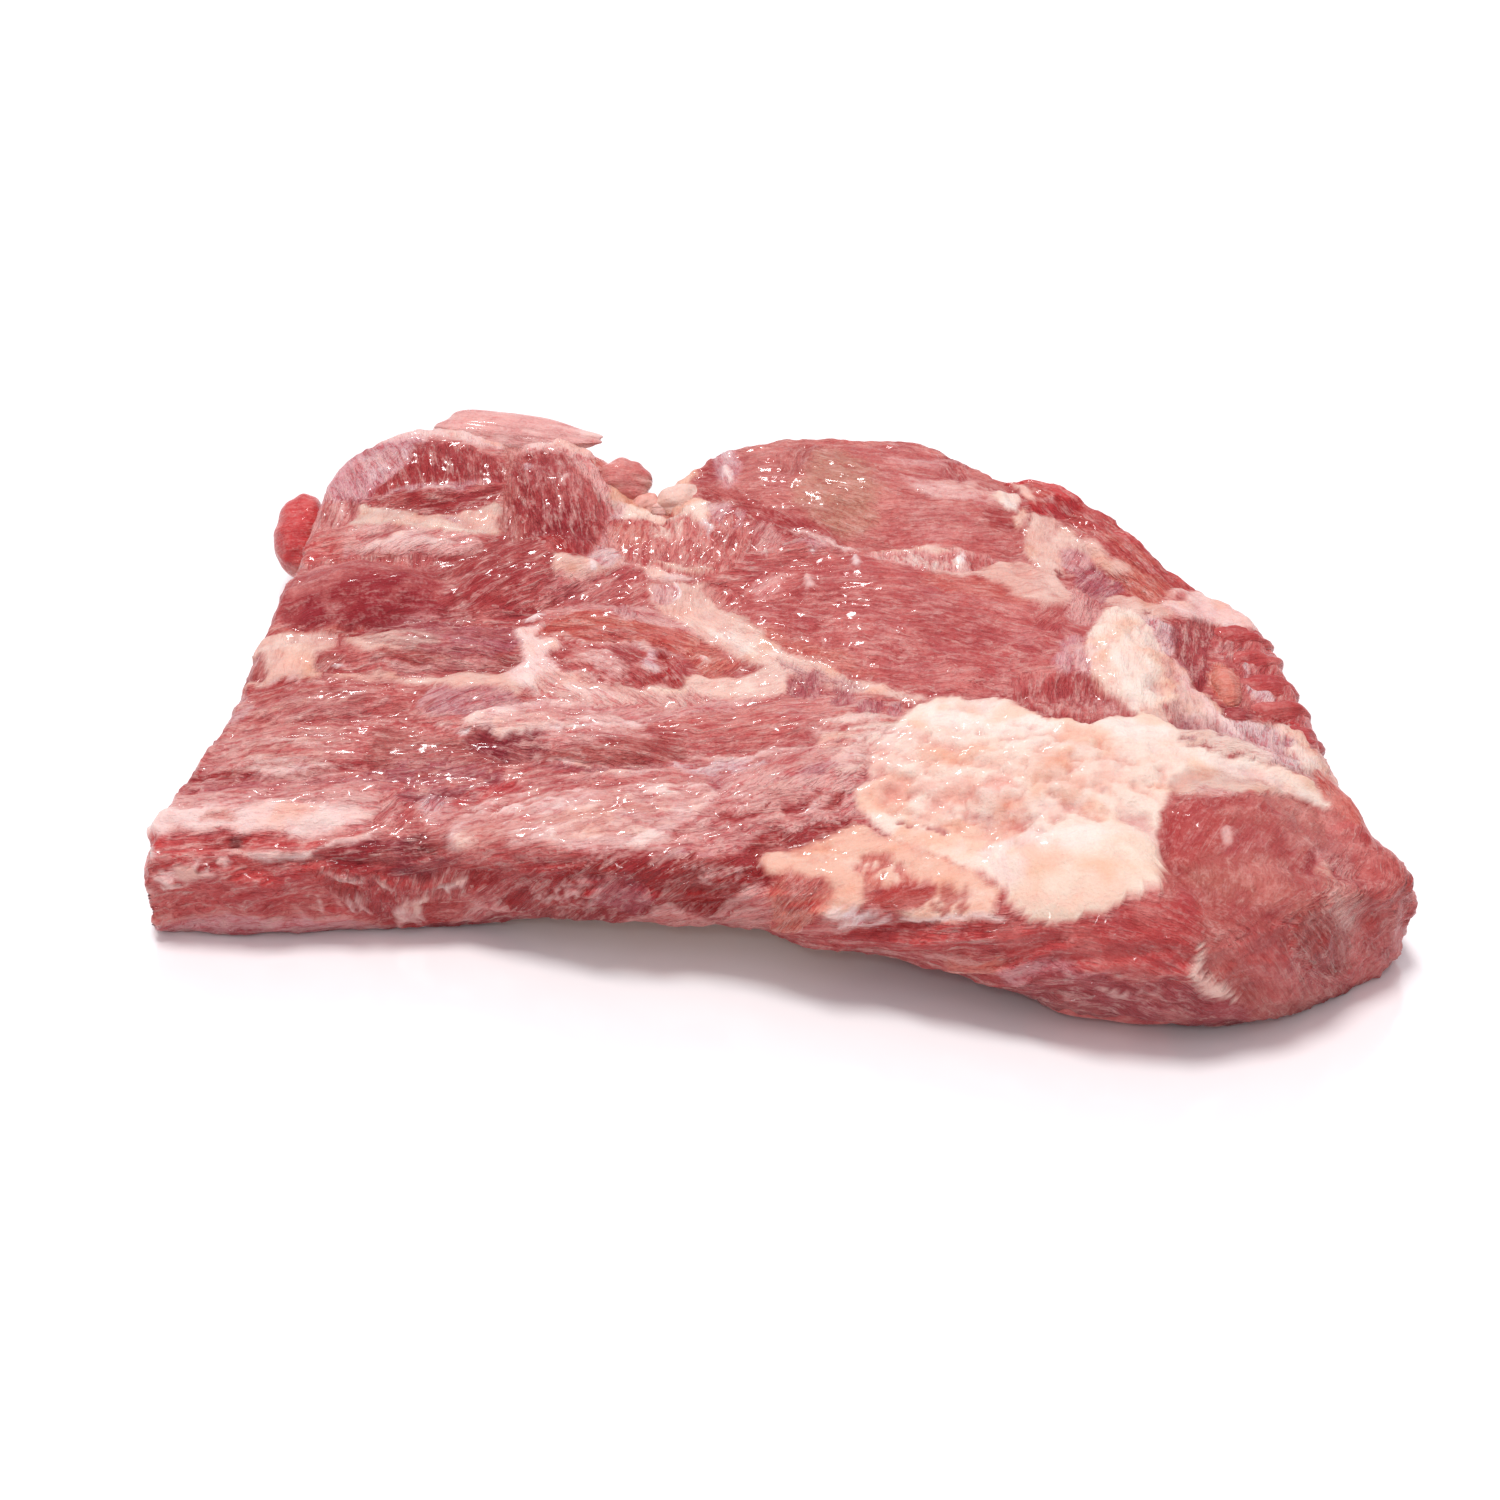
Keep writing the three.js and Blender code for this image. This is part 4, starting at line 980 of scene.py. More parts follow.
    stroke("pale_pink", [(96, 114), (101, 109), (106, 103)], 1.4, strength=0.6),
    area("blood", [(98, 103), (107, 105), (114, 99), (118, 90), (110, 88), (104, 94), (99, 98)],
        3, -55, 0.85, wet=0.9),
    area("muscle_red", [(101, 96), (108, 90), (118, 88), (128, 82), (140, 66), (137, 60), (132, 53),
        (126, 56), (120, 62), (114, 70), (106, 82), (102, 90)], 3, -52),
    stroke("vivid", [(112, 92), (122, 84), (130, 74), (137, 64)], 6.0, strength=0.6),
    *hatch("salmon", [(106, 88), (114, 78), (124, 68)], [(114, 88), (124, 78), (133, 64)],
        5, 1.4, 0.6, seed=40),
    area("salmon", [(113, 73), (124, 68), (133, 58), (126, 53), (117, 60)], 5, -50, 0.8),
    stroke("cream_pink", [(98, 95), (103, 86), (108, 78), (114, 71), (121, 66)], 4.6),
    area("cream_white", [(76, 103), (84, 109), (86, 104), (85, 98), (80, 100)], 2.5, 10, 0.9),
    stroke("muscle_deep", [(90.5, 99), (88.5, 92), (86, 88)], 2.2, strength=0.7),
    stroke("peach", [(87.5, 101), (86.8, 94), (85, 89)], 2.6, strength=0.8),
    area("violet_pink", [(98, 80), (104, 80), (109, 73), (105, 66), (98, 71)], 3, 70, 0.8),
    area("purple", [(101, 65), (106, 72), (112, 68), (117, 62), (113, 56), (117, 50), (108, 50), (103, 55)],
        3, 60),
    *hatch("violet_white", [(101, 62), (105, 68), (109, 72)], [(108, 54), (113, 60), (117, 62)],
        4, 1.2, 0.6, seed=41),
    area("pale_pink", [(100, 56), (108, 52), (109, 42), (102, 37), (98, 46)], 4, 78, 0.9),
    stroke("purple", [(104, 52), (105, 44), (104, 38)], 2.0, strength=0.5),
    stroke("muscle_dark", [(95.3, 67.5), (96.8, 65.5), (96.4, 63.5)], 1.8),
    stroke("vivid", [(98.6, 71), (98.4, 66)], 1.4, strength=0.7),
    area("membrane", [(112, 57), (120, 55), (128, 53), (131, 48), (124, 44), (118, 46), (111, 49)],
        3, 30, 0.9),
    stroke("muscle_dark", [(121.4, 49), (122.8, 47), (123.6, 48.5)], 1.6, strength=0.9),
    # ---- Right-hand rolls ----
    area("pink_white",
        [(130, 56), (138, 62), (152, 62), (162, 52), (162, 44), (150, 44), (140, 48), (131, 50)],
        4, -20, 0.9),
    stroke("vivid", [(128, 55), (134, 57), (138, 60)], 1.8, strength=0.7),
    area("violet_white", [(119, 45), (126, 45), (132, 42), (132, 34), (127, 25), (124, 30), (123, 38)],
        3, 78, 0.85),
    *hatch("purple", [(122, 42), (124, 36), (125, 28)], [(130, 42), (130, 36), (128, 30)],
        4, 1.0, 0.5, seed=42),
    area("muscle", [(138, 47), (150, 47), (166, 46), (180, 30), (185, 10), (180, -10), (167, -10), (160, -2),
        (152, 0), (148, 6), (150, 14), (147, 26), (142, 34)], 3, 72),
    area("muscle_dark", [(131, 44), (138, 49), (145, 45), (141, 34), (140, 24), (140, 16), (137, 9),
        (133.5, 12), (130.5, 22), (129.5, 32)], 2.5, 84, 0.85),
    stroke("muscle", [(140, 46), (137, 34), (137, 22)], 4.0, strength=0.4),
    *hatch("pale_pink", [(140, 30), (145, 38), (151, 44)], [(143, 26), (150, 33), (158, 38)],
        4, 1.4, 0.8, seed=43),
    *hatch("muscle_dark", [(142, 32), (147, 38), (152, 42)], [(150, 20), (155, 30), (161, 34)],
        5, 1.6, 0.7, seed=44),
    stroke("violet_white", [(151, 19), (151.6, 28), (153.5, 34)], 1.6),
    stroke("pale_pink", [(153, 26), (156, 32), (160, 32)], 1.4, strength=0.7),
    area("salmon", [(141, 24), (145, 25.5), (148.5, 19), (149, 10), (148, 4), (143, 4), (140, 8), (140, 16)],
        1.8, 80),
    area("muscle_dark", [(141, 2), (146, 4), (151, 1), (150.5, -3), (145, -4.5), (141, -2)],
        1.8, None, wet=0.8),
    area("muscle_deep", [(148, 8), (154, 9), (154, 2), (149, 2)], 2, None, 0.8),
    area("violet_white", [(152, 17), (157, 17), (158, 10), (153, 8)], 2.5, None, 0.8),
    area("muscle_deep", [(155, 8), (162, 6), (164, -1), (158, -2), (155, 2)], 2, 60, 0.8),
    stroke("vivid", [(163, 3), (165.5, -5), (167, -12)], 3.4),
    # ---- Fat column and silverskin valley ----
    area("cream", [(104, 34), (109, 45), (118, 47), (124, 40), (126, 28), (128, 14), (130, 6), (126, -3),
        (118, -7), (112, -5), (108, 2), (104, 12), (103, 22)], 3.5, 84),
    area("peach", [(104, 24), (108, 22), (110, 8), (107, 1), (104, 8)], 3, 84, 0.6),
    stroke("grey_cream", [(115, 37), (116, 26)], 2.4, strength=0.7),
    *hatch("cream_white", [(106, 36), (108, 20), (112, 4)], [(120, 40), (122, 22), (124, 2)],
        7, 2.0, 0.6, seed=45),
    area("peach", [(126, 25), (131, 21), (134, 12), (139, 3), (133, -2), (127, 4), (125, 14)], 4, 70, 0.7),
    area("silver", [(123, -2), (131, 4), (140, 4), (142, -3), (150, -4), (158, 0), (165, -4), (168, -14),
        (174, -22), (166, -29), (152, -31), (140, -27), (130, -26), (123, -20), (121, -10)], 4, 88),
    area("purple_grey", [(130, -5), (140, -7), (141, -14), (139, -24), (130, -23), (127, -13)], 5, 86, 0.8),
    area("violet_white",
        [(142, -6), (156, -4), (164, -10), (167, -20), (160, -28), (150, -28), (144, -20), (141, -12)],
        5, 86, 0.85),
    *hatch("purple_pale", [(147, -8), (147, -18), (149, -28)], [(162, -10), (161, -20), (160, -28)],
        5, 1.6, 0.7, seed=46),
    stroke("salmon", [(112.5, -6.2), (118, -5.5), (121.5, -4)], 2.8, strength=0.9),
    area("peach", [(134, 1), (140, 3), (141, -2), (136, -4)], 2.5, None, 0.7),
    # ---- Cream field ----
    area("cream", [(50, -2), (60, 0), (78, -1), (84, -9), (98, -17), (106, -14), (112, -10), (120, -8),
        (126, -14), (128, -25), (140, -29), (152, -31), (166, -34), (174, -40), (160, -41), (150, -39),
        (140, -39), (131, -41), (124, -46), (120, -54), (117, -66), (117, -76), (112, -86), (104, -92),
        (94, -99), (84, -101), (74, -94), (70, -84), (66, -76), (54, -67), (42, -60), (34, -51), (31, -42),
        (35, -34), (36, -24), (44, -12)], 3, 4, coarse=0.3),
    area("cream_white", [(54, -2), (76, -4), (96, -19), (112, -12), (122, -10), (124, -22), (112, -26),
        (90, -24), (66, -20), (54, -14)], 7, -4),
    area("cream_pink", [(34, -18), (46, -12), (54, -22), (52, -34), (42, -44), (33, -43), (36, -30)],
        5, 50, 0.8, broken=0.2),
    area("peach", [(35, -40), (40, -35), (46, -36), (46, -46), (38, -48)], 3, None, 0.75),
    area("peach", [(49, -26), (58, -25), (61, -34), (53, -37)], 4, None, 0.7),
    area("peach", [(80, -34), (88, -34), (93, -40), (84, -45), (77, -40)], 2.5, None, 0.9),
    area("salmon_light", [(63, -43), (72, -40.5), (79, -46), (78, -52), (70, -52), (65, -48)],
        2.5, None, 0.95),
    area("peach", [(90, -43), (97, -42), (97, -50), (90, -51)], 2.2, None, 0.85),
    area("peach", [(42, -56), (52, -50), (62, -52), (60, -60), (48, -64), (38, -62)],
        5, None, 0.5, broken=0.2),
    *hatch("cream_pink", [(52, -42), (66, -40), (80, -38)], [(60, -60), (76, -58), (92, -54)],
        7, 1.6, 0.7, seed=47),
    *hatch("grey_cream", [(76, -56), (76, -62), (80, -66)], [(96, -50), (92, -58), (88, -64)],
        5, 1.4, 0.6, seed=48),
    stroke("muscle_pale", [(60, -50), (68, -54), (80, -53)], 1.2, strength=0.6),
    stroke("silver", [(91.5, -34), (93, -35)], 1.8),
    stroke("silver", [(101.5, -47), (102.5, -48)], 1.4),
    stroke("blood", [(41, -52), (45.5, -54.5), (49, -57.5)], 1.3, strength=0.8),
    area("blood", [(51.5, -55), (55, -55.5), (57.5, -59), (54, -58)], 1.5, None, 0.8),
    area("grey_cream", [(121, -42), (132, -35), (150, -39), (158, -43), (150, -48), (136, -49), (125, -51)],
        4, 4),
    area("cream", [(122, -33), (128, -27), (140, -29), (154, -31), (166, -32), (176, -38), (166, -41),
        (150, -37), (136, -32), (127, -36)], 3, -6),
    area("orange_red", [(167, -24), (174, -24), (186, -34), (190, -48), (178, -47), (171, -42), (167, -34)],
        3, -60, 0.9),
    # ---- Peach fat and blood on the front of the middle ----
    area("peach", [(17, -61), (30, -54), (42, -60), (52, -66), (62, -73), (68, -84), (66, -94), (50, -94),
        (36, -87), (26, -92), (18, -86), (19, -75), (8, -73), (4, -67), (11, -62)], 4, 30, coarse=0.5),
    area("salmon", [(8, -74), (19, -76), (24, -84), (20, -92), (10, -100), (6, -88)], 4, 60, 0.8),
    area("muscle", [(10, -74), (18, -76), (22, -82), (16, -84), (10, -82)], 4, None, 0.6),
    area("orange_red", [(29, -68), (38, -66), (46, -75), (44, -81), (34, -80)],
        4, 70, 0.8, broken=0.35, wet=0.9),
    area("blood", [(33, -82), (42, -78.5), (50, -77), (51, -84), (46, -89.5), (36, -88)],
        3, None, 0.9, wet=1.0),
    area("blood", [(52, -80), (59, -79), (62, -88), (54, -93)], 3, None, 0.7, broken=0.2, wet=1.0),
    stroke("blood", [(10, -85.5), (16, -86.5), (22, -85)], 3.4, strength=0.8),
    area("pink_white", [(23, -88), (31, -86.5), (34, -94), (26, -97)], 3, 60, 0.8, broken=0.25, wet=1.0),
    *hatch("white", [(24, -92), (28, -90), (31, -87)], [(34, -96), (38, -94), (42, -91)],
        6, 1.4, 0.75, seed=49),
    area("muscle_red", [(4, -97), (20, -99), (45, -97), (68, -95.5), (74, -100), (84, -108), (100, -122),
        (100, -150), (60, -125), (44, -116), (26, -112), (6, -106)], 2.5, -4),
    stroke("blood", [(18, -98), (32, -98.5), (44, -95.5), (54, -94.5)], 2.8),
    stroke("pink_white", [(42, -92.8), (56, -93.3), (71, -94)], 2.2),
    area("salmon", [(58, -109), (70, -109), (76, -112), (70, -116), (60, -114)], 2.5, -6, 0.7),
    stroke("pale_pink", [(20, -108), (40, -109.5), (58, -109), (74, -111)], 2.2, strength=0.6),
    # ---- Smooth pad ----
    area("fat", [(71, -82), (74, -77), (82, -79), (90, -77), (98, -68), (113, -68), (116.5, -76), (111, -86),
        (104, -92), (95, -99), (86, -102), (78, -98), (73, -91)], 2.5, 0, coarse=0.15),
    # Painted highlight: a pale sheen on the smooth pad.
    area("cream_white", [(80, -62), (88, -64), (102, -66), (96, -74), (86, -76), (78, -70)],
        6, 20, 0.9, coarse=0.2),
    stroke("grey_cream", [(75, -58), (76, -66), (79, -70)], 2.0, strength=0.7),
    # ---- Round muscle ----
    area("brown_red", [(117.5, -60), (124, -53), (134, -51), (146, -50), (154, -44), (162, -40), (174, -44),
        (172, -56), (166, -66), (158, -78), (152, -88), (152, -100), (140, -102), (126, -98), (112, -94),
        (109, -88), (116, -76), (117, -66)], 2.5, 62, coarse=0.35),
    area("muscle_red", [(118, -60), (128, -53), (136, -60), (132, -72), (120, -76)], 7, 80, 0.7),
    area("tan_pink", [(148, -47), (161, -41), (171, -46), (168, -58), (158, -70), (151, -62)], 6, 64, 0.7),
    area("tan", [(124, -78), (140, -74), (150, -80), (144, -94), (130, -92), (120, -86)], 8, 50, 0.45),
    stroke("pale_pink", [(128, -49), (134, -48), (142, -49)], 2.4, strength=0.8),
    stroke("pink_white", [(136.4, -65), (135.8, -72)], 3.4, edge=1.2),
    stroke("muscle_dark", [(167, -58), (159, -72), (150, -84), (147, -94), (139, -102)], 4.0, strength=0.8),
    *hatch("muscle_dark", [(160, -58), (150, -74), (138, -90)], [(164, -62), (154, -80), (144, -98)],
        4, 1.4, 0.6, seed=50),
    *hatch("pale_pink", [(146, -64), (136, -80), (124, -90)], [(166, -56), (156, -70), (146, -88)],
        7, 0.9, 0.45, seed=51),
    area("muscle_deep", [(148, -64), (153, -65), (155, -72), (150, -74)], 5, None, 0.6),
    # ---- Near-right roll ----
    area("muscle_red", [(70, -97), (80, -101), (88, -103), (96, -101), (106, -95), (116, -92), (128, -98),
        (132, -110), (126, -122), (104, -124), (88, -116), (74, -109)], 3, -20, coarse=0.5),
    area("brown_red", [(120, -96), (140, -101), (152, -108), (164, -122), (200, -118), (230, -120),
        (220, -160), (150, -150), (136, -130), (130, -118)], 5, -42, coarse=0.5),
    area("muscle", [(134, -104), (146, -110), (166, -124), (158, -132), (142, -120), (132, -112)],
        6, -42, 0.6),
    stroke("muscle_deep", [(116, -104), (122, -109), (126, -112)], 2.0, strength=0.6),
    area("cream_pink", [(125, -110), (128, -114), (133, -122), (141, -128), (147, -131), (144, -133.5),
        (134, -130), (128, -122), (126, -117)], 2, -50, 0.95),
    area("violet_pink",
        [(74, -113), (84, -116), (96, -121), (104, -125), (98, -127), (90, -130), (84, -126), (76, -120)],
        3, -30, 0.6),
    stroke("muscle_dark", [(94, -121), (106, -127), (118, -126.5), (127, -123)], 2.4, strength=0.8),
    area("muscle_purple",
        [(80, -124), (98, -124), (112, -128), (128, -126), (137, -131), (150, -136), (150, -170), (90, -170)],
        3, -18),
    *hatch("pink_white", [(94, -127), (104, -129), (112, -131)], [(104, -134), (114, -133), (122, -130)],
        6, 0.8, 0.5, seed=52, broken=0.3),
    # ---- Fan lobe ----
    area("muscle", [(171, -46), (178, -48), (192, -54), (200, -66), (230, -76), (230, -104), (200, -102),
        (188, -101), (178, -93), (172, -80), (168, -66), (166, -54)], 3, 66),
    area("silver", [(153, -90), (158, -83), (166, -78), (172, -84), (178, -95), (170, -97), (160, -95)],
        4, 66, 0.9),
    stroke("peach", [(157, -84), (162, -76), (167, -68)], 4.0, strength=0.7),
    area("muscle_brown",
        [(152, -92), (160, -95), (172, -97), (180, -100), (184, -108), (172, -116), (158, -112), (151, -102)],
        4, -30),
    *hatch("muscle_dark", [(152, -98), (164, -102), (178, -104)], [(156, -108), (166, -112), (180, -110)],
        5, 1.2, 0.5, seed=53),
    *hatch("pale_pink", [(169, -46), (165, -62), (160, -76)], [(179, -50), (174, -66), (168, -80)],
        9, 1.1, 0.75, seed=54),
    *hatch("muscle_dark", [(172, -48), (168, -62), (163, -76)], [(182, -52), (177, -66), (170, -80)],
        6, 1.2, 0.7, seed=55),
    area("muscle_deep", [(176, -84), (190, -86), (206, -92), (196, -99), (184, -98), (176, -92)],
        4, -20, 0.6),
    area("blood", [(180, -50), (186, -56), (188, -66), (200, -72), (222, -78), (222, -86), (204, -82),
        (190, -78), (183, -70), (180, -60)], 3, 60, 0.85),
    # ---- Glazes that soften the joins, and painted shade along the near foot ----
    area("pink_white", [(20, -14), (34, -8), (44, -14), (40, -26), (30, -36), (22, -30)],
        6, 10, 0.6, broken=0.45),
    *hatch("cream", [(16, -12), (32, -8), (48, -6)], [(22, -36), (34, -31), (48, -26)],
        9, 1.7, 0.75, seed=71),
    *hatch("muscle_pale", [(24, -10), (36, -11), (48, -14)], [(24, -40), (34, -38), (44, -36)],
        7, 1.3, 0.6, seed=72),
    area("cream_pink", [(60, -16), (84, -22), (108, -26), (112, -40), (96, -48), (72, -38), (58, -30)],
        9, 0, 0.5, broken=0.35),
    area("salmon_light", [(40, -38), (54, -36), (66, -42), (64, -52), (50, -52), (40, -46)],
        5, 10, 0.5, broken=0.3),
    area("pink_white", [(68, -56), (78, -54), (82, -64), (78, -78), (70, -80), (66, -66)],
        5, 80, 0.6, broken=0.3),
    area("cream", [(157, -2), (166, -6), (169, -20), (163, -27), (158, -14)], 4, 84, 0.8, broken=0.2),
    area("cream", [(124, -14), (134, -16), (150, -23), (152, -30), (136, -28), (126, -24)],
        4, 0, 0.7, broken=0.2),
    area("violet_pink", [(126, 22), (132, 22), (134, 8), (130, -2), (126, 6)], 4, 88, 0.6, broken=0.3),
    area("peach", [(166, -12), (178, -14), (184, -26), (176, -30), (168, -24)], 5, 60, 0.6, broken=0.2),
    area("muscle_deep",
        [(119, -58), (124, -53), (134, -52), (147, -51), (152, -55), (136, -57), (124, -61), (119, -72)],
        3, 70, 0.6),
    area("tan_pink", [(140, -80), (152, -74), (160, -84), (152, -98), (140, -96)], 6, 55, 0.6),
    area("tan_pink", [(152, -84), (160, -76), (170, -78), (172, -88), (160, -92)], 5, 60, 0.7),
    *hatch("muscle_deep", [(120, -92), (132, -78), (140, -62)], [(142, -100), (154, -84), (160, -66)],
        9, 1.2, 0.4, seed=73),
    area("muscle_purple",
        [(-122, 44), (-108, 46), (-92, 45), (-76, 40), (-74, 34), (-88, 34), (-104, 38), (-120, 40)],
        4, -4, 0.7, broken=0.2),
    area("salmon_pink", [(-92, -36), (-70, -34), (-62, -44), (-66, -60), (-80, -64), (-92, -56)],
        9, 4, 0.65, broken=0.3),
    area("pale_pink", [(-200, -48), (-182, -49), (-177, -60), (-186, -68), (-202, -64)],
        6, 0, 0.6, broken=0.3),
    area("pale_pink", [(-172, -14), (-154, -12), (-150, -22), (-164, -28)], 5, 4, 0.6, broken=0.4),
    area("muscle_pale", [(-148, 72), (-132, 73), (-129, 62), (-142, 57)], 7, 10, 0.5),
    area("salmon_pink", [(-146, 96), (-128, 95), (-128, 82), (-144, 80)], 6, 0, 0.6, broken=0.2),
    *hatch("muscle_deep", [(-168, 10), (-140, 14), (-108, 16)], [(-172, -30), (-140, -28), (-104, -24)],
        16, 1.5, 0.6, seed=74, broken=0.25),
    *hatch("cream_pink", [(-164, 8), (-140, 11), (-110, 14)], [(-170, -28), (-140, -26), (-106, -22)],
        14, 1.2, 0.65, seed=75, broken=0.3),
    *hatch("muscle_deep", [(-100, -2), (-60, 2), (-14, 2)], [(-96, -34), (-56, -32), (-10, -30)],
        10, 1.4, 0.5, seed=76, broken=0.35),
    *hatch("cream", [(104, 34), (105, 16), (109, -2), (114, -14)],
        [(124, 38), (124, 18), (124, 0), (126, -16)], 11, 2.2, 0.8, seed=81),
    *hatch("cream_white", [(108, 30), (110, 12), (114, -10)], [(122, 30), (121, 10), (122, -12)],
        5, 1.8, 0.9, seed=82),
    *hatch("pink_white", [(95, 30), (97, 18), (104, 8)], [(106, 34), (106, 22), (110, 6)],
        6, 1.5, 0.7, seed=83),
    *hatch("salmon_pink", [(84, -2), (88, -8), (94, -13)], [(108, -1), (110, -6), (114, -9)],
        9, 2.0, 0.7, seed=84),
    *hatch("pink_white", [(126, 36), (127, 18), (130, -4), (134, -24)],
        [(136, 2), (142, -8), (150, -16), (160, -26)], 10, 1.5, 0.6, seed=85),
    *hatch("grey_cream", [(125, 26), (127, 10), (130, -8)], [(134, 6), (136, -4), (140, -16)],
        5, 1.8, 0.6, seed=86),
    stroke("cream_white", [(112, -25), (130, -30), (148, -35), (166, -39)], 5.0, strength=0.8),
    # Painted shade: dark purple bands along the lower rim of the near side, where it lies in shadow.
    *hatch("purple_dark",
        [(-172, -88), (-130, -88), (-96, -87), (-60, -94), (-20, -102), (24, -114), (66, -126)],
        [(-172, -98), (-130, -98), (-96, -97), (-60, -106), (-20, -114), (24, -126), (66, -138)],
        4, 4.0, 0.6, seed=87),
    area("pale_pink", [(-82, -4), (-68, 3), (-54, 4), (-40, -4), (-36, -8), (-54, -8), (-72, -7)],
        4, -9, 0.6, broken=0.25),
    *hatch("salmon_pink", [(-80, -4), (-62, 4), (-42, -2)], [(-76, -8), (-58, -7), (-38, -9)],
        6, 1.2, 0.6, seed=91),
    *hatch("muscle_deep", [(-158, 14), (-130, 15), (-108, 8)], [(-156, 2), (-130, 2), (-108, 3)],
        5, 2.2, 0.5, seed=92),
    area("blood_dark", [(-126, -56), (-112, -53), (-104, -54), (-106, -64), (-118, -64)], 5, 6, 0.6, wet=0.9),
    area("membrane", [(-122, 37), (-112, 39), (-104, 35), (-112, 32), (-120, 34)], 4, -8, 0.5, broken=0.2),
    *hatch("cream_pink", [(-70, 30), (-62, 18), (-48, 8)], [(-56, 20), (-42, 12), (-24, 8)],
        8, 1.3, 0.7, seed=93),
    *hatch("muscle_pale", [(-64, 24), (-50, 12), (-34, 5)], [(-52, 18), (-38, 11), (-20, 8)],
        6, 0.9, 0.6, seed=94),
    *hatch("muscle_deep", [(16, 66), (40, 66), (74, 60)], [(10, 20), (44, 14), (92, 20)],
        12, 1.6, 0.35, seed=95),
    *hatch("muscle_pale", [(10, 62), (36, 64), (70, 62)], [(16, 18), (50, 12), (88, 26)],
        12, 1.4, 0.4, seed=96),
    *hatch("cream_white", [(52, -12), (72, -18), (96, -22)], [(48, -56), (70, -62), (100, -60)],
        9, 2.4, 0.55, seed=97, broken=0.2),
    *hatch("peach", [(56, -14), (76, -26), (104, -30)], [(50, -60), (66, -66), (96, -56)],
        7, 3.0, 0.5, seed=98, broken=0.2),
    area("muscle_dark",
        [(-150, 62), (-136, 71), (-110, 73), (-98, 68), (-94, 56), (-106, 46), (-130, 44), (-146, 50)],
        3, 6, 0.4, wet=0.8, coarse=0.4),
    area("muscle_deep", [(-102, 74), (-84, 77), (-67, 72), (-61, 62), (-70, 52), (-90, 50), (-100, 56)],
        5, 35, 0.5),
    area("muscle_red",
        [(-95, -47), (-50, -43), (0, -41), (24, -45), (20, -64), (-20, -68), (-60, -70), (-95, -66)],
        10, 8, 0.35, broken=0.3),
    area("muscle_brown", [(170, -50), (186, -55), (198, -70), (196, -86), (182, -94), (171, -84), (165, -66)],
        6, 66, 0.5),
    area("muscle_brown", [(128, -58), (150, -58), (160, -72), (154, -92), (134, -94), (122, -78)],
        9, 60, 0.35),
    area("muscle", [(80, 8), (92, 12), (102, 10), (108, 2), (114, -8), (100, -14), (86, -10), (78, -2)],
        6, 84, 0.6),
    *hatch("pink_white", [(82, 2), (86, -6), (90, -13)], [(106, 6), (110, -4), (112, -12)],
        8, 1.3, 0.6, seed=121),
    *hatch("muscle_dark", [(-114, 70), (-99, 70), (-84, 73)], [(-112, 49), (-99, 50), (-84, 51)],
        8, 2.4, 0.6, seed=122),
    *hatch("muscle", [(-112, 68), (-98, 69), (-86, 71)], [(-108, 52), (-98, 52), (-88, 53)],
        6, 1.6, 0.5, seed=123),
    # ---- Underside, drawn UNDERSIDE_OFFSET to the right ----
    area("muscle_pale",
        [(540, -40), (620, -50), (700, -30), (780, -10), (800, 40), (720, 60), (620, 40), (550, 20)],
        8, 12, 0.8),
    area("fat", [(600, -62), (650, -82), (710, -72), (764, -44), (748, -4), (694, 8), (640, -4), (604, -24)],
        6, 12),
    area("cream_pink", [(704, 64), (756, 52), (804, 72), (792, 108), (744, 122), (708, 106)], 6, -10),
    area("muscle_deep", [(560, 30), (610, 44), (640, 84), (628, 124), (590, 136), (566, 110), (556, 60)],
        5, 60),
    area("muscle_dark", [(786, -88), (842, -82), (866, -40), (836, 4), (796, -14), (772, -52)], 5, -40),
    area("purple_pale", [(642, 60), (684, 70), (690, 110), (660, 128), (640, 104)], 5, 80, 0.8),
    *hatch("pink_white", [(556, 20), (620, 34), (690, 50)], [(560, -50), (630, -60), (700, -40)],
        12, 2.0, 0.7, seed=101, broken=0.25),
    *hatch("cream", [(600, 8), (660, 16), (740, 12)], [(606, -70), (670, -86), (740, -70)],
        10, 2.6, 0.7, seed=102),
    *hatch("pink_white", [(770, 30), (800, 10), (850, 10)], [(780, -90), (820, -60), (860, -60)],
        9, 1.6, 0.7, seed=103, broken=0.2),
    *hatch("pale_pink", [(564, 40), (586, 90), (590, 134)], [(620, 44), (636, 90), (630, 130)],
        9, 1.2, 0.6, seed=104),
    *hatch("cream_pink", [(640, 60), (664, 96), (668, 128)], [(704, 60), (704, 96), (712, 124)],
        6, 2.4, 0.7, seed=105),
]


def linear(tone):
    """sRGB bytes as linear light."""
    value = np.array(tone) / WHITE
    return np.where(value <= 0.04045, value / 12.92, ((value + 0.055) / 1.055) ** 2.4)


def albedo(tone):
    """The paint whose look under the wet sheen and this light is the tone."""
    return np.maximum(linear(TONES[tone]) - SHEEN, DARKEST) / np.array(LIGHT)


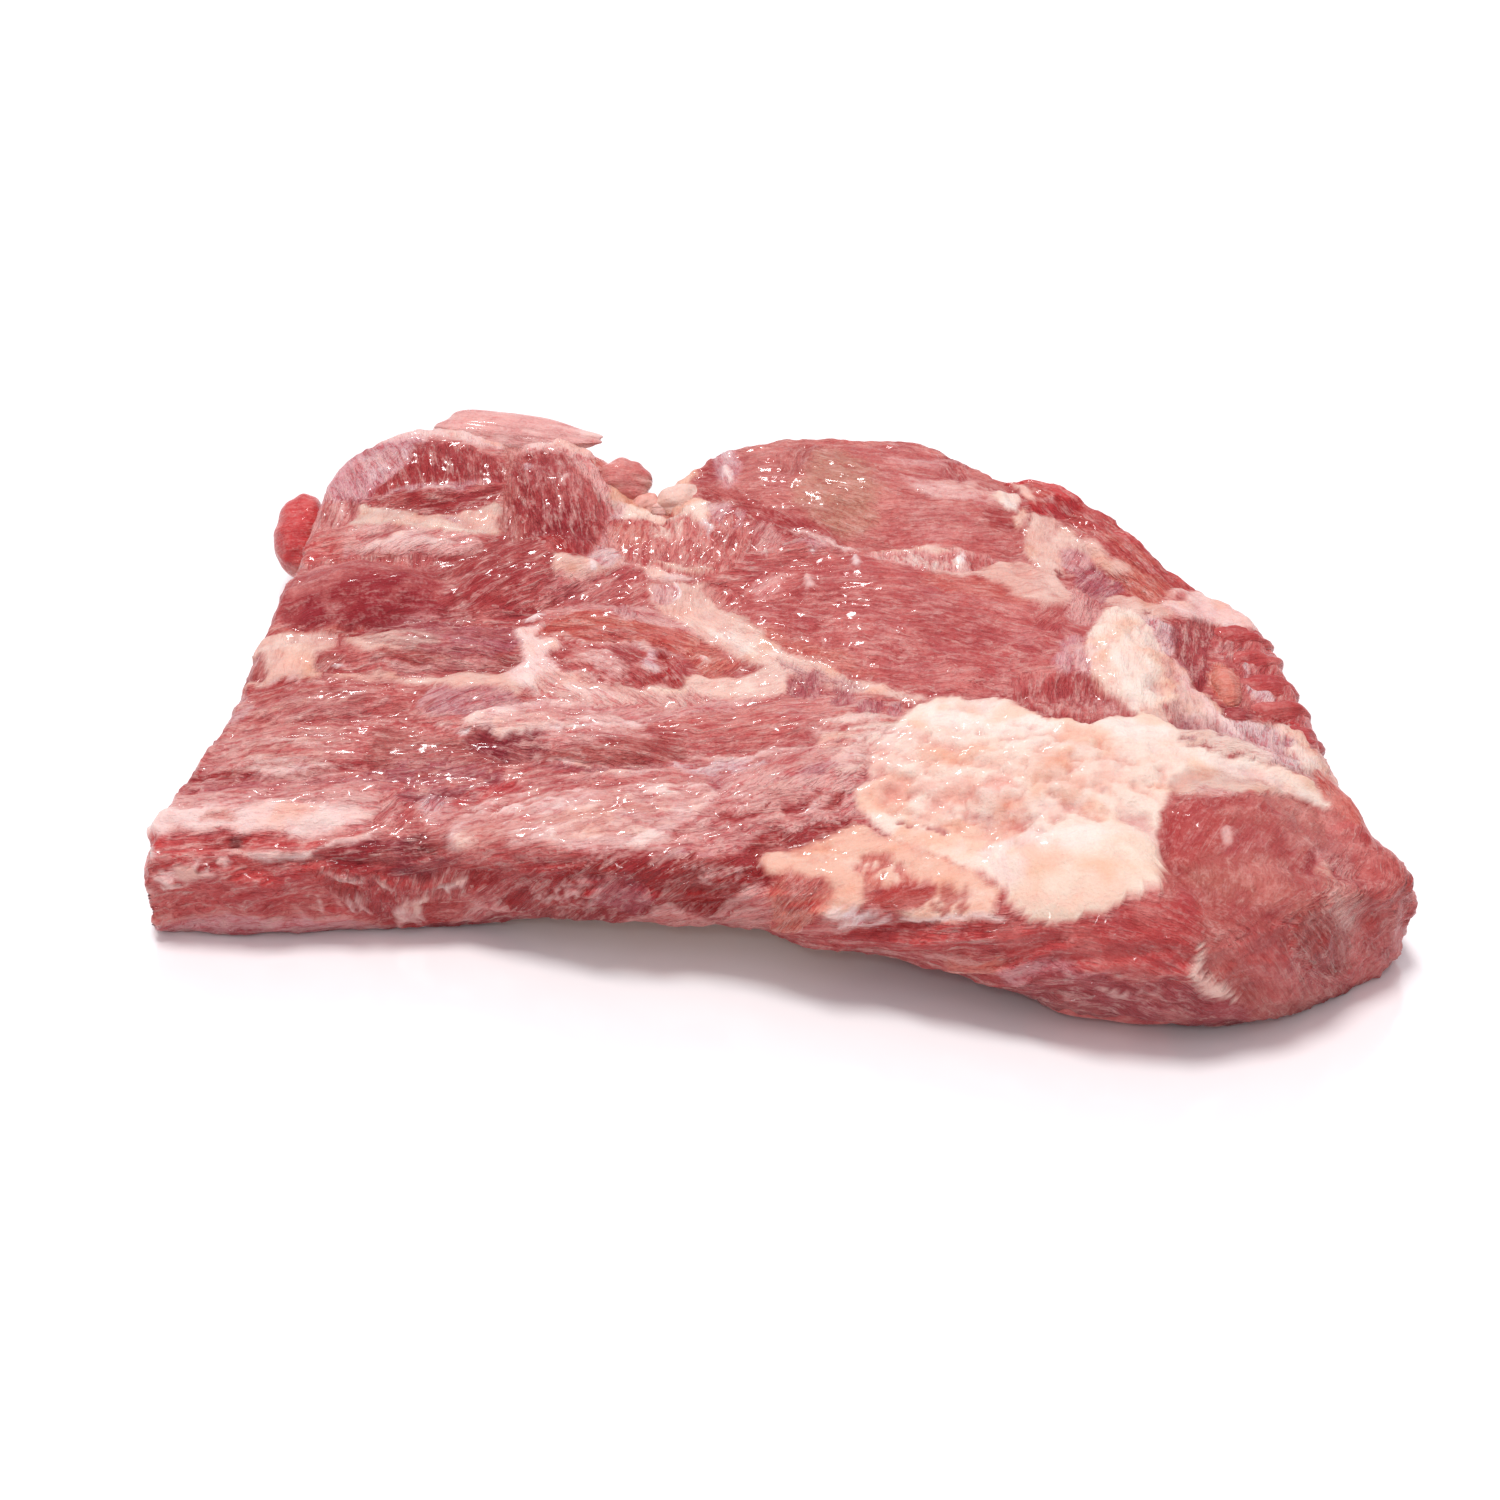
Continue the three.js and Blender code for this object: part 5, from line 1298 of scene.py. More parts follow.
def paint_at(x, y):
    """Linear colour, share of fat, wetness, coarseness and turn of the fibres at each place."""
    colour = np.zeros(x.shape + (3,))
    fat, turn = np.zeros(x.shape), np.zeros(x.shape)
    wet, coarse = np.full(x.shape, USUAL_WET), np.ones(x.shape)
    for shape in PAINT:
        weight = weight_of(x, y, shape)
        colour = mix(colour, albedo(shape["tone"]), weight[..., None])
        fat = mix(fat, 1.0 if shape["tone"] in FAT_TONES else 0.0, weight)
        if shape["wet"] is not None:
            wet = mix(wet, shape["wet"], weight)
        if shape["coarse"] is not None:
            coarse = mix(coarse, shape["coarse"], weight)
        if shape["grain"] is not None and shape["width"] is None:
            turn = np.where(weight > 0.5 * shape["strength"], shape["grain"], turn)
    return colour, fat, wet, coarse, turn


# ---------- Fine relief ----------
# Where the fat is lobed: middle, half sizes, turn in degrees, strength.
LOBULE_AREAS = [
    ((78, -38), (52, 24), -8, 1.0),
    ((-30, 108), (16, 9), 0, 0.8),
    ((116, 18), (11, 26), 0, 0.5),
]
LOBULE_SIZE = 15.0
LOBULE_RISE = 2.2
LOBULE_BEND = 7.0
# Millimetres of relief, each on a noise of about -1 to 1.
SWELL = 0.7
RIPPLE = 0.6
GRAIN = 0.25
FAT_FOLDS = 1.1
SIDE_LAYER = 2.2
# Millimetres by which white paint would stand over black.
PAINT_RISE = 3.2
# How much noise is drawn out along the fibres, and along the layers of a cut side.
RIPPLE_STRETCH = 0.18
LAYER_STRETCH = 0.30


def fibre_coordinates(x, y, turn):
    """Millimetres along and across the fibres."""
    turn = np.radians(turn)
    return x * np.cos(turn) + y * np.sin(turn), y * np.cos(turn) - x * np.sin(turn)


def lobules_at(x, y):
    """Swelling of the fat's lobules: above 0 on their crowns, below 0 in their creases."""
    total = np.zeros(x.shape)
    bend = LOBULE_BEND * layered_noise(x, y, 14.0, seed=41)
    large = pebbles(x + bend, 1.3 * y - bend, LOBULE_SIZE, seed=5)
    small = pebbles(x - bend, 1.2 * y + bend, LOBULE_SIZE / 2.5, seed=6)
    for at, half, turn, strength in LOBULE_AREAS:
        a, b = turned(x, y, at, turn)
        inside = smooth_step(1.15, 0.75, np.hypot(a / half[0], b / half[1]))
        total += strength * inside * (large + 0.35 * small - 0.85)
    return total


def fine_relief(x, y, fat, turn):
    """Millimetres outwards: slow swell, ripples along the fibres, folds and lobules in the fat."""
    swell = SWELL * layered_noise(x, y, 26.0, seed=3, layers=4)
    along, across = fibre_coordinates(x, y, turn)
    ripple = RIPPLE * layered_noise(along * RIPPLE_STRETCH, across, 4.0, seed=11, layers=3)
    grain = GRAIN * layered_noise(x, y, 4.0, seed=17, layers=2)
    broad_fold = np.abs(layered_noise(x, y, 11.0, seed=19, layers=3))
    small_fold = np.abs(layered_noise(x, y, 4.5, seed=23, layers=2))
    folds = FAT_FOLDS * fat * (1 - broad_fold - 0.35 * small_fold)
    return swell + (1 - fat) * ripple + grain + folds + LOBULE_RISE * lobules_at(x, y)


def softened(field, passes):
    """A field on the grid, averaged with its neighbours that many times."""
    for _ in range(passes):
        padded = np.pad(field, 1, mode="edge")
        field = (padded[:-2, 1:-1] + 2 * padded[1:-1, 1:-1] + padded[2:, 1:-1]) / 4
        padded = np.pad(field, 1, mode="edge")
        field = (padded[1:-1, :-2] + 2 * padded[1:-1, 1:-1] + padded[1:-1, 2:]) / 4
    return field


def paint_relief(colour):
    """Pale strands stand up and dark slits sink, by their difference from what is round them."""
    light = np.sqrt(colour @ np.array([0.3, 0.5, 0.2]))
    return PAINT_RISE * (softened(light, 2) - softened(light, 24))


def side_relief(u, v, normals, angle):
    """Ledges along the cut sides, longest along the edge."""
    share = normals[..., 1] ** 2 / (normals[..., 0] ** 2 + normals[..., 1] ** 2 + 1e-9)
    along_x = layered_noise(u * LAYER_STRETCH, v, 7.0, seed=91, layers=3)
    along_y = layered_noise(u, v * LAYER_STRETCH, 7.0, seed=95, layers=3)
    return SIDE_LAYER * mix(along_y, along_x, share) * np.sin(angle)


# ---------- Meshes ----------
def grid_normals(points):
    """Unit normals of a grid of points, from the differences along its two ways."""
    normal = np.cross(np.gradient(points, axis=0), np.gradient(points, axis=1))
    return normal / (np.linalg.norm(normal, axis=-1, keepdims=True) + 1e-12)


def slab_points():
    """Grid points of the upper face and side, with the unrolled place of each."""
    i, j = np.meshgrid(np.arange(COLUMNS + 1), np.arange(ROWS + 1), indexing="ij")
    ring = np.minimum.reduce([i, j, COLUMNS - i, ROWS - j])
    ring = np.minimum(ring, SIDE_RINGS)
    angle = even_angles(SIDE_RINGS)[SIDE_RINGS - ring]
    s = (i - ring) / (COLUMNS - 2 * ring)
    t = (j - ring) / (ROWS - 2 * ring)
    x, y, z, u, v = blanket(s, t, angle)
    return np.stack([x, y, z], -1), u, v, angle


def underside_points():
    """Coarse grid points of the underside; its outer ones are the slab's lowest ring."""
    s, t = np.meshgrid(
        np.arange(0, COLUMNS + 1, UNDERSIDE_STEP) / COLUMNS,
        np.arange(0, ROWS + 1, UNDERSIDE_STEP) / ROWS,
        indexing="ij",
    )
    x, y, *_ = blanket(s, t, np.full(s.shape, math.pi))
    return np.stack([x, y, foot_at(s, t)], -1)


def slab_faces():
    """Quads of the upper grid, then the underside's cells with the edge's finer points."""
    upper = np.arange((COLUMNS + 1) * (ROWS + 1)).reshape(COLUMNS + 1, ROWS + 1)
    corners = (upper[:-1, :-1], upper[1:, :-1], upper[1:, 1:], upper[:-1, 1:])
    faces = np.stack([c.ravel() for c in corners], -1).tolist()
    columns, rows = COLUMNS // UNDERSIDE_STEP, ROWS // UNDERSIDE_STEP
    lower = upper.size + np.arange((columns + 1) * (rows + 1)).reshape(columns + 1, rows + 1)
    border = upper[::UNDERSIDE_STEP, ::UNDERSIDE_STEP]
    for edge in (np.s_[0, :], np.s_[-1, :], np.s_[:, 0], np.s_[:, -1]):
        lower[edge] = border[edge]
    step = UNDERSIDE_STEP
    for i in range(columns):
        for j in range(rows):
            a, b = i * step, j * step
            loop = [lower[i, j], *(upper[0, b + 1 : b + step] if i == 0 else [])]
            loop += [lower[i, j + 1], *(upper[a + 1 : a + step, ROWS] if j == rows - 1 else [])]
            loop += [lower[i + 1, j + 1]]
            loop += [*(upper[COLUMNS, b + 1 : b + step][::-1] if i == columns - 1 else [])]
            loop += [lower[i + 1, j], *(upper[a + 1 : a + step, 0][::-1] if j == 0 else [])]
            faces.append([int(k) for k in loop])
    return faces


def new_object(name, data):
    """An object with that data, in the scene."""
    piece = bpy.data.objects.new(name, data)
    bpy.context.scene.collection.objects.link(piece)
    return piece


def new_mesh(name, points, faces):
    """A smooth mesh object from drawing millimetres, moved to the frame's metres."""
    centre = np.array([*DRAWING_CENTRE, 0.0])
    mesh = bpy.data.meshes.new(name)
    mesh.from_pydata(((points - centre) * MM).tolist(), [], faces)
    mesh.polygons.foreach_set("use_smooth", np.ones(len(mesh.polygons), bool))
    mesh.update()
    return new_object(name, mesh)


def set_paint(mesh, colour, fat, wet, coarse, turn, u, v):
    """Stores the paint of a mesh's points, and maps its faces along their fibres."""
    one = np.ones(len(u))
    tone = mesh.color_attributes.new("tone", "FLOAT_COLOR", "POINT")
    tone.data.foreach_set("color", np.column_stack([colour, one]).ravel())
    finish = mesh.color_attributes.new("finish", "FLOAT_COLOR", "POINT")
    finish.data.foreach_set("color", np.column_stack([fat, wet, coarse, one]).ravel())
    point = np.zeros(len(mesh.loops), int)
    mesh.loops.foreach_get("vertex_index", point)
    count = np.zeros(len(mesh.polygons), int)
    mesh.polygons.foreach_get("loop_total", count)
    first = np.concatenate([[0], np.cumsum(count)[:-1]])
    along, across = fibre_coordinates(u[point], v[point], np.repeat(turn[point[first]], count))
    layer = mesh.uv_layers.new(name="fibres")
    layer.data.foreach_set("uv", np.column_stack([along, across]).ravel())


def remove_loose_points(piece):
    """Drops the underside's border points, whose place the upper grid's points take."""
    work = bmesh.new()
    work.from_mesh(piece.data)
    bmesh.ops.delete(work, geom=[p for p in work.verts if not p.link_faces], context="VERTS")
    work.to_mesh(piece.data)
    work.free()


# ---------- The slab ----------
UNDERSIDE_OFFSET = 700.0
# The relief fades out over this last share of the side, down to the foot.
FOOT_SHARE = 0.07
# Painted shade in the creases between lobules, and a slow flush over the fat.
CREASE_SHADE_TONE = (0.98, 0.84, 0.80)
FLUSH_TONE = (0.97, 0.80, 0.71)
# Painted light: steep sides get less light than the top, so their paint is brighter.
SIDE_LIGHT_GAIN = 1.25
# Painted shade makes the hollows darker: passes of softening that give the level round a place, depth of a
# full one.
HOLLOW_SHADE_REACH = 36
HOLLOW_SHADE_DEPTH = 2.0
HOLLOW_SHADE_TONE = (0.74, 0.44, 0.48)


def fat_crease_shade_and_flush(colour, fat, u, v):
    """The colour with pinkish painted shade in the lobules' creases, and the flush of the fat."""
    # Painted shade: the colour is darker in the creases between the fat's lobules.
    crease_shade = smooth_step(-0.1, -0.7, lobules_at(u, v)) * fat
    colour = colour * mix(1.0, np.array(CREASE_SHADE_TONE), crease_shade[..., None])
    flush = smooth_step(0.05, 0.6, layered_noise(u, v, 17.0, seed=45, layers=3)) * fat
    return colour * mix(1.0, np.array(FLUSH_TONE), flush[..., None])


def side_light_and_hollow_shade(colour, points, normals):
    """The upper grid's colour with painted light on the steep sides and painted shade in the hollows."""
    up = normals[..., 2]
    # Painted light: the steep sides are brightened.
    side = smooth_step(0.95, 0.1, up) * smooth_step(-0.7, -0.1, up)
    colour = colour * mix(1.0, SIDE_LIGHT_GAIN, side)[..., None]
    # Painted shade: places lower than the softened level round them are darkened.
    hollow_shade = (softened(points[..., 2], HOLLOW_SHADE_REACH) - points[..., 2]) / HOLLOW_SHADE_DEPTH
    return colour * mix(1.0, np.array(HOLLOW_SHADE_TONE), np.clip(hollow_shade, 0, 1)[..., None])


def joined(upper, lower, *width):
    """Values at the upper grid's points, then those at the underside's, as one list."""
    return np.concatenate([upper.reshape(-1, *width), lower.reshape(-1, *width)])


def make_slab(material):
    """The whole slab as one closed mesh: the upper face and the side, then the underside."""
    points, u, v, angle = slab_points()
    colour, *finish = paint_at(u, v)
    fat, _, _, turn = finish
    normals = grid_normals(points)
    relief = fine_relief(u, v, fat, turn) + paint_relief(colour) + side_relief(u, v, normals, angle)
    relief *= smooth_step(math.pi, (1 - FOOT_SHARE) * math.pi, angle)
    points = points + normals * relief[..., None]
    points[..., 2] = np.maximum(points[..., 2], 0)
    # Painted shade in the fat's creases and the hollows, and painted light on the steep sides.
    colour = side_light_and_hollow_shade(fat_crease_shade_and_flush(colour, fat, u, v), points, normals)

    below = underside_points()
    below_u, below_v = below[..., 0] + UNDERSIDE_OFFSET, below[..., 1]
    below_colour, *below_finish = paint_at(below_u, below_v)
    # The underside also gets painted shade in the fat's creases, and the flush.
    below_colour = fat_crease_shade_and_flush(below_colour, below_finish[0], below_u, below_v)

    piece = new_mesh("shoulder_slab", joined(points, below, 3), slab_faces())
    piece.data.validate()
    colour = np.minimum(joined(colour, below_colour, 3), BRIGHTEST)
    finish = [joined(*pair) for pair in zip(finish, below_finish)]
    set_paint(piece.data, colour, *finish, joined(u, below_u), joined(v, below_v))
    piece.data.materials.append(material)
    remove_loose_points(piece)
    return piece


# ---------- Lobes that stand clear of the slab ----------
# name: middle, half sizes, turn in degrees, taper, tone of the crown, tone of the rim, seed
LOBES = {
    "left_flap": ((-147, 119, 21), (9, 17, 11), 4, 0.0, "vivid", "salmon_pink", 61),
    "far_flap": ((-77, 149.5, 41), (29, 14, 7), -9, 0.6, "pale_pink", "pink_white", 62),
    "notch_knob": ((-41, 125, 38), (9, 9, 7.5), 0, 0.0, "salmon_pink", "peach_pink", 63),
    "notch_fat": ((-22, 117, 36.5), (9, 8, 6), 25, 0.3, "cream_pink", "peach", 64),
    "notch_crumb": ((-34, 116, 34.5), (5.5, 5, 4.5), 40, 0.0, "salmon_light", "peach", 68),
    "notch_bead": ((-29, 114, 34.5), (4, 4, 3.5), 0, 0.0, "peach_pink", "salmon_pink", 69),
    "near_low_roll": ((106, -90, 10.5), (30, 13, 10), -4, 0.0, "muscle_purple", "muscle_red", 65),
    "salmon_knob": ((144.5, 14, 37.5), (4.4, 10, 4.4), 4, 0.0, "salmon", "salmon_light", 66),
    "dark_knob": ((145.5, -0.5, 36.5), (5, 4.4, 4), 0, 0.0, "muscle_dark", "muscle", 67),
}
# The curls along the right edge lie evenly between these two middles.
CURL_ENDS = ((160, -6, 28), (150, 44, 29))
CURLS = 5
for number in range(CURLS):
    share = number / (CURLS - 1)
    middle = tuple(mix(low, high, share) for low, high in zip(*CURL_ENDS))
    LOBES[f"edge_curl_{number + 1}"] = (middle, (13, 7.5, 9), 16, 0.0, "muscle_red", "muscle", 71 + number)
LOBE_COLUMNS = 96
LOBE_ROWS = 48
LOBE_POLE = 0.02
LOBE_LUMPS = 0.12
LOBE_FOLDS = 0.05
LOBE_WET = 0.6
LOBE_COARSE = 0.35


def lobe_points(at, half, turn, taper, seed):
    """A lumpy ellipsoid, thinner by the taper at the far end of its axis, and its plan for paint."""
    a, b = np.meshgrid(
        np.linspace(0, 2 * math.pi, LOBE_COLUMNS, endpoint=False),
        np.linspace(LOBE_POLE, math.pi - LOBE_POLE, LOBE_ROWS),
        indexing="ij",
    )
    x, sine = np.cos(b), np.sin(b)
    y = sine * np.cos(a)
    z = sine * np.sin(a)
    lump = layered_noise(x * 1.2 + seed, y + z * 0.7, 1.0, seed=seed, layers=2)
    fold = layered_noise(x * 0.5 + seed, np.sin(a) * 2 + np.cos(a) * 1.5, 1.0, seed=seed + 1, layers=2)
    swell = 1 + LOBE_LUMPS * lump + LOBE_FOLDS * fold * sine
    slim = 1 - taper * (x + 1) / 2
    x, y, z = x * half[0] * swell, y * half[1] * swell * slim, z * half[2] * swell * slim
    c, s = math.cos(math.radians(turn)), math.sin(math.radians(turn))
    points = np.stack([at[0] + x * c - y * s, at[1] + x * s + y * c, at[2] + z], -1)
    return points, x, y + 0.8 * z


def make_lobe(name, material):
    """One lobe as a closed mesh, in the rim's tone below and the crown's above."""
    at, half, turn, taper, crown, rim, seed = LOBES[name]
    points, along, around = lobe_points(at, half, turn, taper, seed)
    columns, rows = points.shape[:2]
    index = np.arange(columns * rows).reshape(columns, rows)
    after = np.roll(index, -1, axis=0)
    quads = np.stack([index[:, :-1], index[:, 1:], after[:, 1:], after[:, :-1]], -1)
    faces = quads.reshape(-1, 4).tolist() + [index[::-1, -1].tolist(), index[:, 0].tolist()]
    piece = new_mesh(name, points.reshape(-1, 3), faces)
    height = ((points[..., 2] - at[2]) / half[2]).ravel()
    u, v = along.ravel(), around.ravel()
    share = smooth_step(-0.5, 0.6, height + 0.7 * layered_noise(u * 0.4, v, 5.0, seed=seed, layers=3))
    colour = mix(albedo(rim), albedo(crown), share[:, None])
    fat = mix(1.0 if rim in FAT_TONES else 0.0, 1.0 if crown in FAT_TONES else 0.0, share)
    wet, coarse, straight = (np.full(u.shape, value) for value in (LOBE_WET, LOBE_COARSE, 0.0))
    set_paint(piece.data, colour, fat, wet, coarse, straight, u, v)
    piece.data.materials.append(material)
    return piece


# ---------- Material ----------
# Linear tints of the pale and the deep threads, of the slits between bundles and of the veins.
PALE_THREAD = (0.80, 0.50, 0.45, 1.0)
DEEP_THREAD = (0.86, 0.42, 0.45, 1.0)
SLIT_TINT = (0.80, 0.36, 0.40, 1.0)
VEIN_TINT = (0.74, 0.45, 0.39, 1.0)
# Blotches on lean meat and on fat, where their noise is high and where it is low.
HIGH_BLUSH = ((0.36, 0.05, 0.06, 1.0), (0.80, 0.44, 0.34, 1.0))
LOW_BLUSH = ((0.66, 0.24, 0.21, 1.0), (0.82, 0.72, 0.62, 1.0))
BUMP_STRENGTH = 0.8
BUMP_DISTANCE = 0.0009
MEAT_FINISH = {
    "Subsurface Weight": 0.12,
    "Subsurface Radius": (1.0, 0.35, 0.25),
    "Subsurface Scale": 0.002,
    "IOR": 1.4,
    "Specular IOR Level": 0.35,
    "Coat Weight": 0.38,
    "Coat Roughness": 0.09,
}
FLOOR_FINISH = {"Base Color": (0.93, 0.93, 0.93, 1), "Roughness": 0.12, "IOR": 2.6}


def new_material(name, finish):
    """A material whose shader has those values in its inputs."""
    material = bpy.data.materials.new(name)
    material.use_nodes = True
    shader = material.node_tree.nodes["Principled BSDF"]
    for socket, value in finish.items():
        shader.inputs[socket].default_value = value
    return material


def new_node(tree, kind, **settings):
    """A node of that kind, with its settings; in_3 sets the input of index 3."""
    node = tree.nodes.new(kind)
    for key, value in settings.items():
        if key.startswith("in_"):
            node.inputs[int(key[3:])].default_value = value
        else:
            setattr(node, key, value)
    return node


def maths(tree, operation, a, b=None, c=None, clamp=False):
    """A Math node fed by sockets or numbers; returns its output."""
    node = new_node(tree, "ShaderNodeMath", operation=operation, use_clamp=clamp)
    for socket, value in zip(node.inputs, (a, b, c)):
        if isinstance(value, (int, float)):
            socket.default_value = value
        elif value is not None:
            tree.links.new(value, socket)
    return node.outputs[0]


def scaled(tree, value, gain, lift=0.0, clamp=False):
    """value * gain + lift."""
    return maths(tree, "MULTIPLY_ADD", value, gain, lift, clamp=clamp)


def product(tree, first, *others):
    """All the factors multiplied."""
    for factor in others:
        first = maths(tree, "MULTIPLY", first, factor)
    return first


def blend(tree, share, a, b, kind="MIX"):
    """A colour Mix node fed by sockets or colours; returns its output."""
    node = new_node(tree, "ShaderNodeMix", data_type="RGBA", blend_type=kind)
    for socket, value in zip((node.inputs[0], node.inputs[6], node.inputs[7]), (share, a, b)):
        if isinstance(value, (int, float, tuple)):
            socket.default_value = value
        else:
            tree.links.new(value, socket)
    return node.outputs[2]


def mottling(tree, place, scale, detail, roughness):
    """Even noise: its scale is per metre."""
    noise = new_node(tree, "ShaderNodeTexNoise", in_2=scale, in_3=detail, in_4=roughness)
    tree.links.new(place, noise.inputs[0])
    return noise.outputs[0]


def streaks(tree, fibres, along, across, detail):
    """Noise drawn out along the fibres: its scales are per millimetre."""
    stretch = new_node(tree, "ShaderNodeMapping", in_3=(along, across, 1.0))
    tree.links.new(fibres, stretch.inputs[0])
    settings = {"noise_dimensions": "2D", "in_2": 1.0, "in_3": detail, "in_4": 0.6, "in_8": 0.4}
    noise = new_node(tree, "ShaderNodeTexNoise", **settings)
    tree.links.new(stretch.outputs[0], noise.inputs[0])
    return noise.outputs[0]


def thin_lines(tree, field, level, sharp):
    """1 where a field crosses a level, falling to 0 on both sides of that line."""
    gap = maths(tree, "ABSOLUTE", maths(tree, "SUBTRACT", field, level))
    return scaled(tree, gap, -sharp, 1.0, clamp=True)


def meat_material():
    """Wet raw meat: painted tones, fibre streaks and mottling, all under a wet coat."""
    material = new_material("raw_meat_and_fat", MEAT_FINISH)
    tree = material.node_tree
    shader = tree.nodes["Principled BSDF"]
    tone = new_node(tree, "ShaderNodeAttribute", attribute_name="tone").outputs["Color"]
    finish = new_node(tree, "ShaderNodeAttribute", attribute_name="finish").outputs["Vector"]
    parts = new_node(tree, "ShaderNodeSeparateXYZ")
    tree.links.new(finish, parts.inputs[0])
    fat, wet, coarse = parts.outputs[0], parts.outputs[1], parts.outputs[2]
    fibres = new_node(tree, "ShaderNodeUVMap", uv_map="fibres").outputs[0]
    place = new_node(tree, "ShaderNodeTexCoord").outputs["Object"]

    # The noises: bundles and threads of fibres, then three sizes of even mottling.
    bundles = streaks(tree, fibres, 0.10, 0.42, detail=3.0)
    threads = streaks(tree, fibres, 0.30, 1.6, detail=2.0)
    blotch = mottling(tree, place, 75.0, detail=5.0, roughness=0.65)
    mottle = mottling(tree, place, 170.0, detail=4.0, roughness=0.65)
    grain = mottling(tree, place, 900.0, detail=2.0, roughness=0.5)

    # Lean meat shows its fibres in full, fat only a little.
    lean = maths(tree, "SUBTRACT", 1.0, fat)
    depth = scaled(tree, lean, 0.7, 0.3)
    fibrous = product(tree, depth, coarse)
    strand = scaled(tree, threads, 0.7, scaled(tree, bundles, 1.5, -1.1))
    speck = scaled(tree, grain, 0.6, scaled(tree, mottle, 0.6, -0.6))
    strand = maths(tree, "ADD", product(tree, strand, fibrous), product(tree, speck, depth))

    # Thin pale veins on some bundles, and thin dark slits on the others.
    patch = scaled(tree, bundles, 5.0, -2.2, clamp=True)
    vein = thin_lines(tree, streaks(tree, fibres, 0.06, 0.34, detail=3.0), 0.50, 26.0)
    vein = product(tree, vein, patch, lean, coarse)
    slit = thin_lines(tree, streaks(tree, fibres, 0.12, 0.60, detail=2.0), 0.46, 22.0)
    slit = product(tree, slit, scaled(tree, patch, -0.8, 1.0), fibrous)

    colour = blend(tree, scaled(tree, strand, 1.0, clamp=True), tone, PALE_THREAD)
    colour = blend(tree, scaled(tree, strand, -2.8, clamp=True), colour, DEEP_THREAD, "MULTIPLY")
    high = scaled(tree, blotch, 2.2, -1.1, clamp=True)
    colour = blend(tree, high, colour, blend(tree, fat, *HIGH_BLUSH))
    low = scaled(tree, blotch, -2.2, 1.1, clamp=True)
    colour = blend(tree, low, colour, blend(tree, fat, *LOW_BLUSH))
    colour = blend(tree, product(tree, slit, 0.6), colour, SLIT_TINT, "MULTIPLY")
    colour = blend(tree, product(tree, vein, 0.5), colour, VEIN_TINT)
    tree.links.new(colour, shader.inputs["Base Color"])

    rough = scaled(tree, fat, 0.05, 0.50)
    rough = scaled(tree, wet, -0.16, rough)
    rough = scaled(tree, mottle, 0.2, rough)
    tree.links.new(rough, shader.inputs["Roughness"])

    height = product(tree, scaled(tree, bundles, 2.0, threads), fibrous)
    for source, gain in ((vein, 0.35), (slit, -0.35), (mottle, 0.8), (grain, 0.5)):
        height = scaled(tree, source, gain, height)
    bump = new_node(tree, "ShaderNodeBump", in_0=BUMP_STRENGTH, in_1=BUMP_DISTANCE)
    tree.links.new(height, bump.inputs["Height"])
    tree.links.new(bump.outputs[0], shader.inputs["Normal"])
    return material


# ---------- Camera, light and floor ----------
CAMERA_ELEVATION = 38.0
CAMERA_DISTANCE = 1.150
CAMERA_TARGET = (-DRAWING_CENTRE[0] * MM, -DRAWING_CENTRE[1] * MM, 0.025)
SENSOR = 36.0
LENS = 91.2
# The surround: tint and strength at the horizon, tint overhead, and what is added up to there.
HORIZON_TINT = (1.0, 0.84, 0.88, 1.0)
HORIZON_STRENGTH = 0.47
OVERHEAD_TINT = (1.0, 0.92, 0.98, 1.0)
OVERHEAD_GAIN = 0.38
SUN_STRENGTH = 2.2
SUN_SPREAD = 17.0
SUN_TURN = (-8.0, -5.0, 0.0)
# Small lights for the sparkles on the wet coat: place, watts.
SPARKLE_LIGHTS = {
    "back_light": ((-0.25, 1.0, 0.9), 2.0),
    "front_light": ((-0.2, -1.2, 1.2), 1.6),
}
SPARKLE_SIZE = 0.10
FLOOR_REACH = 6.0


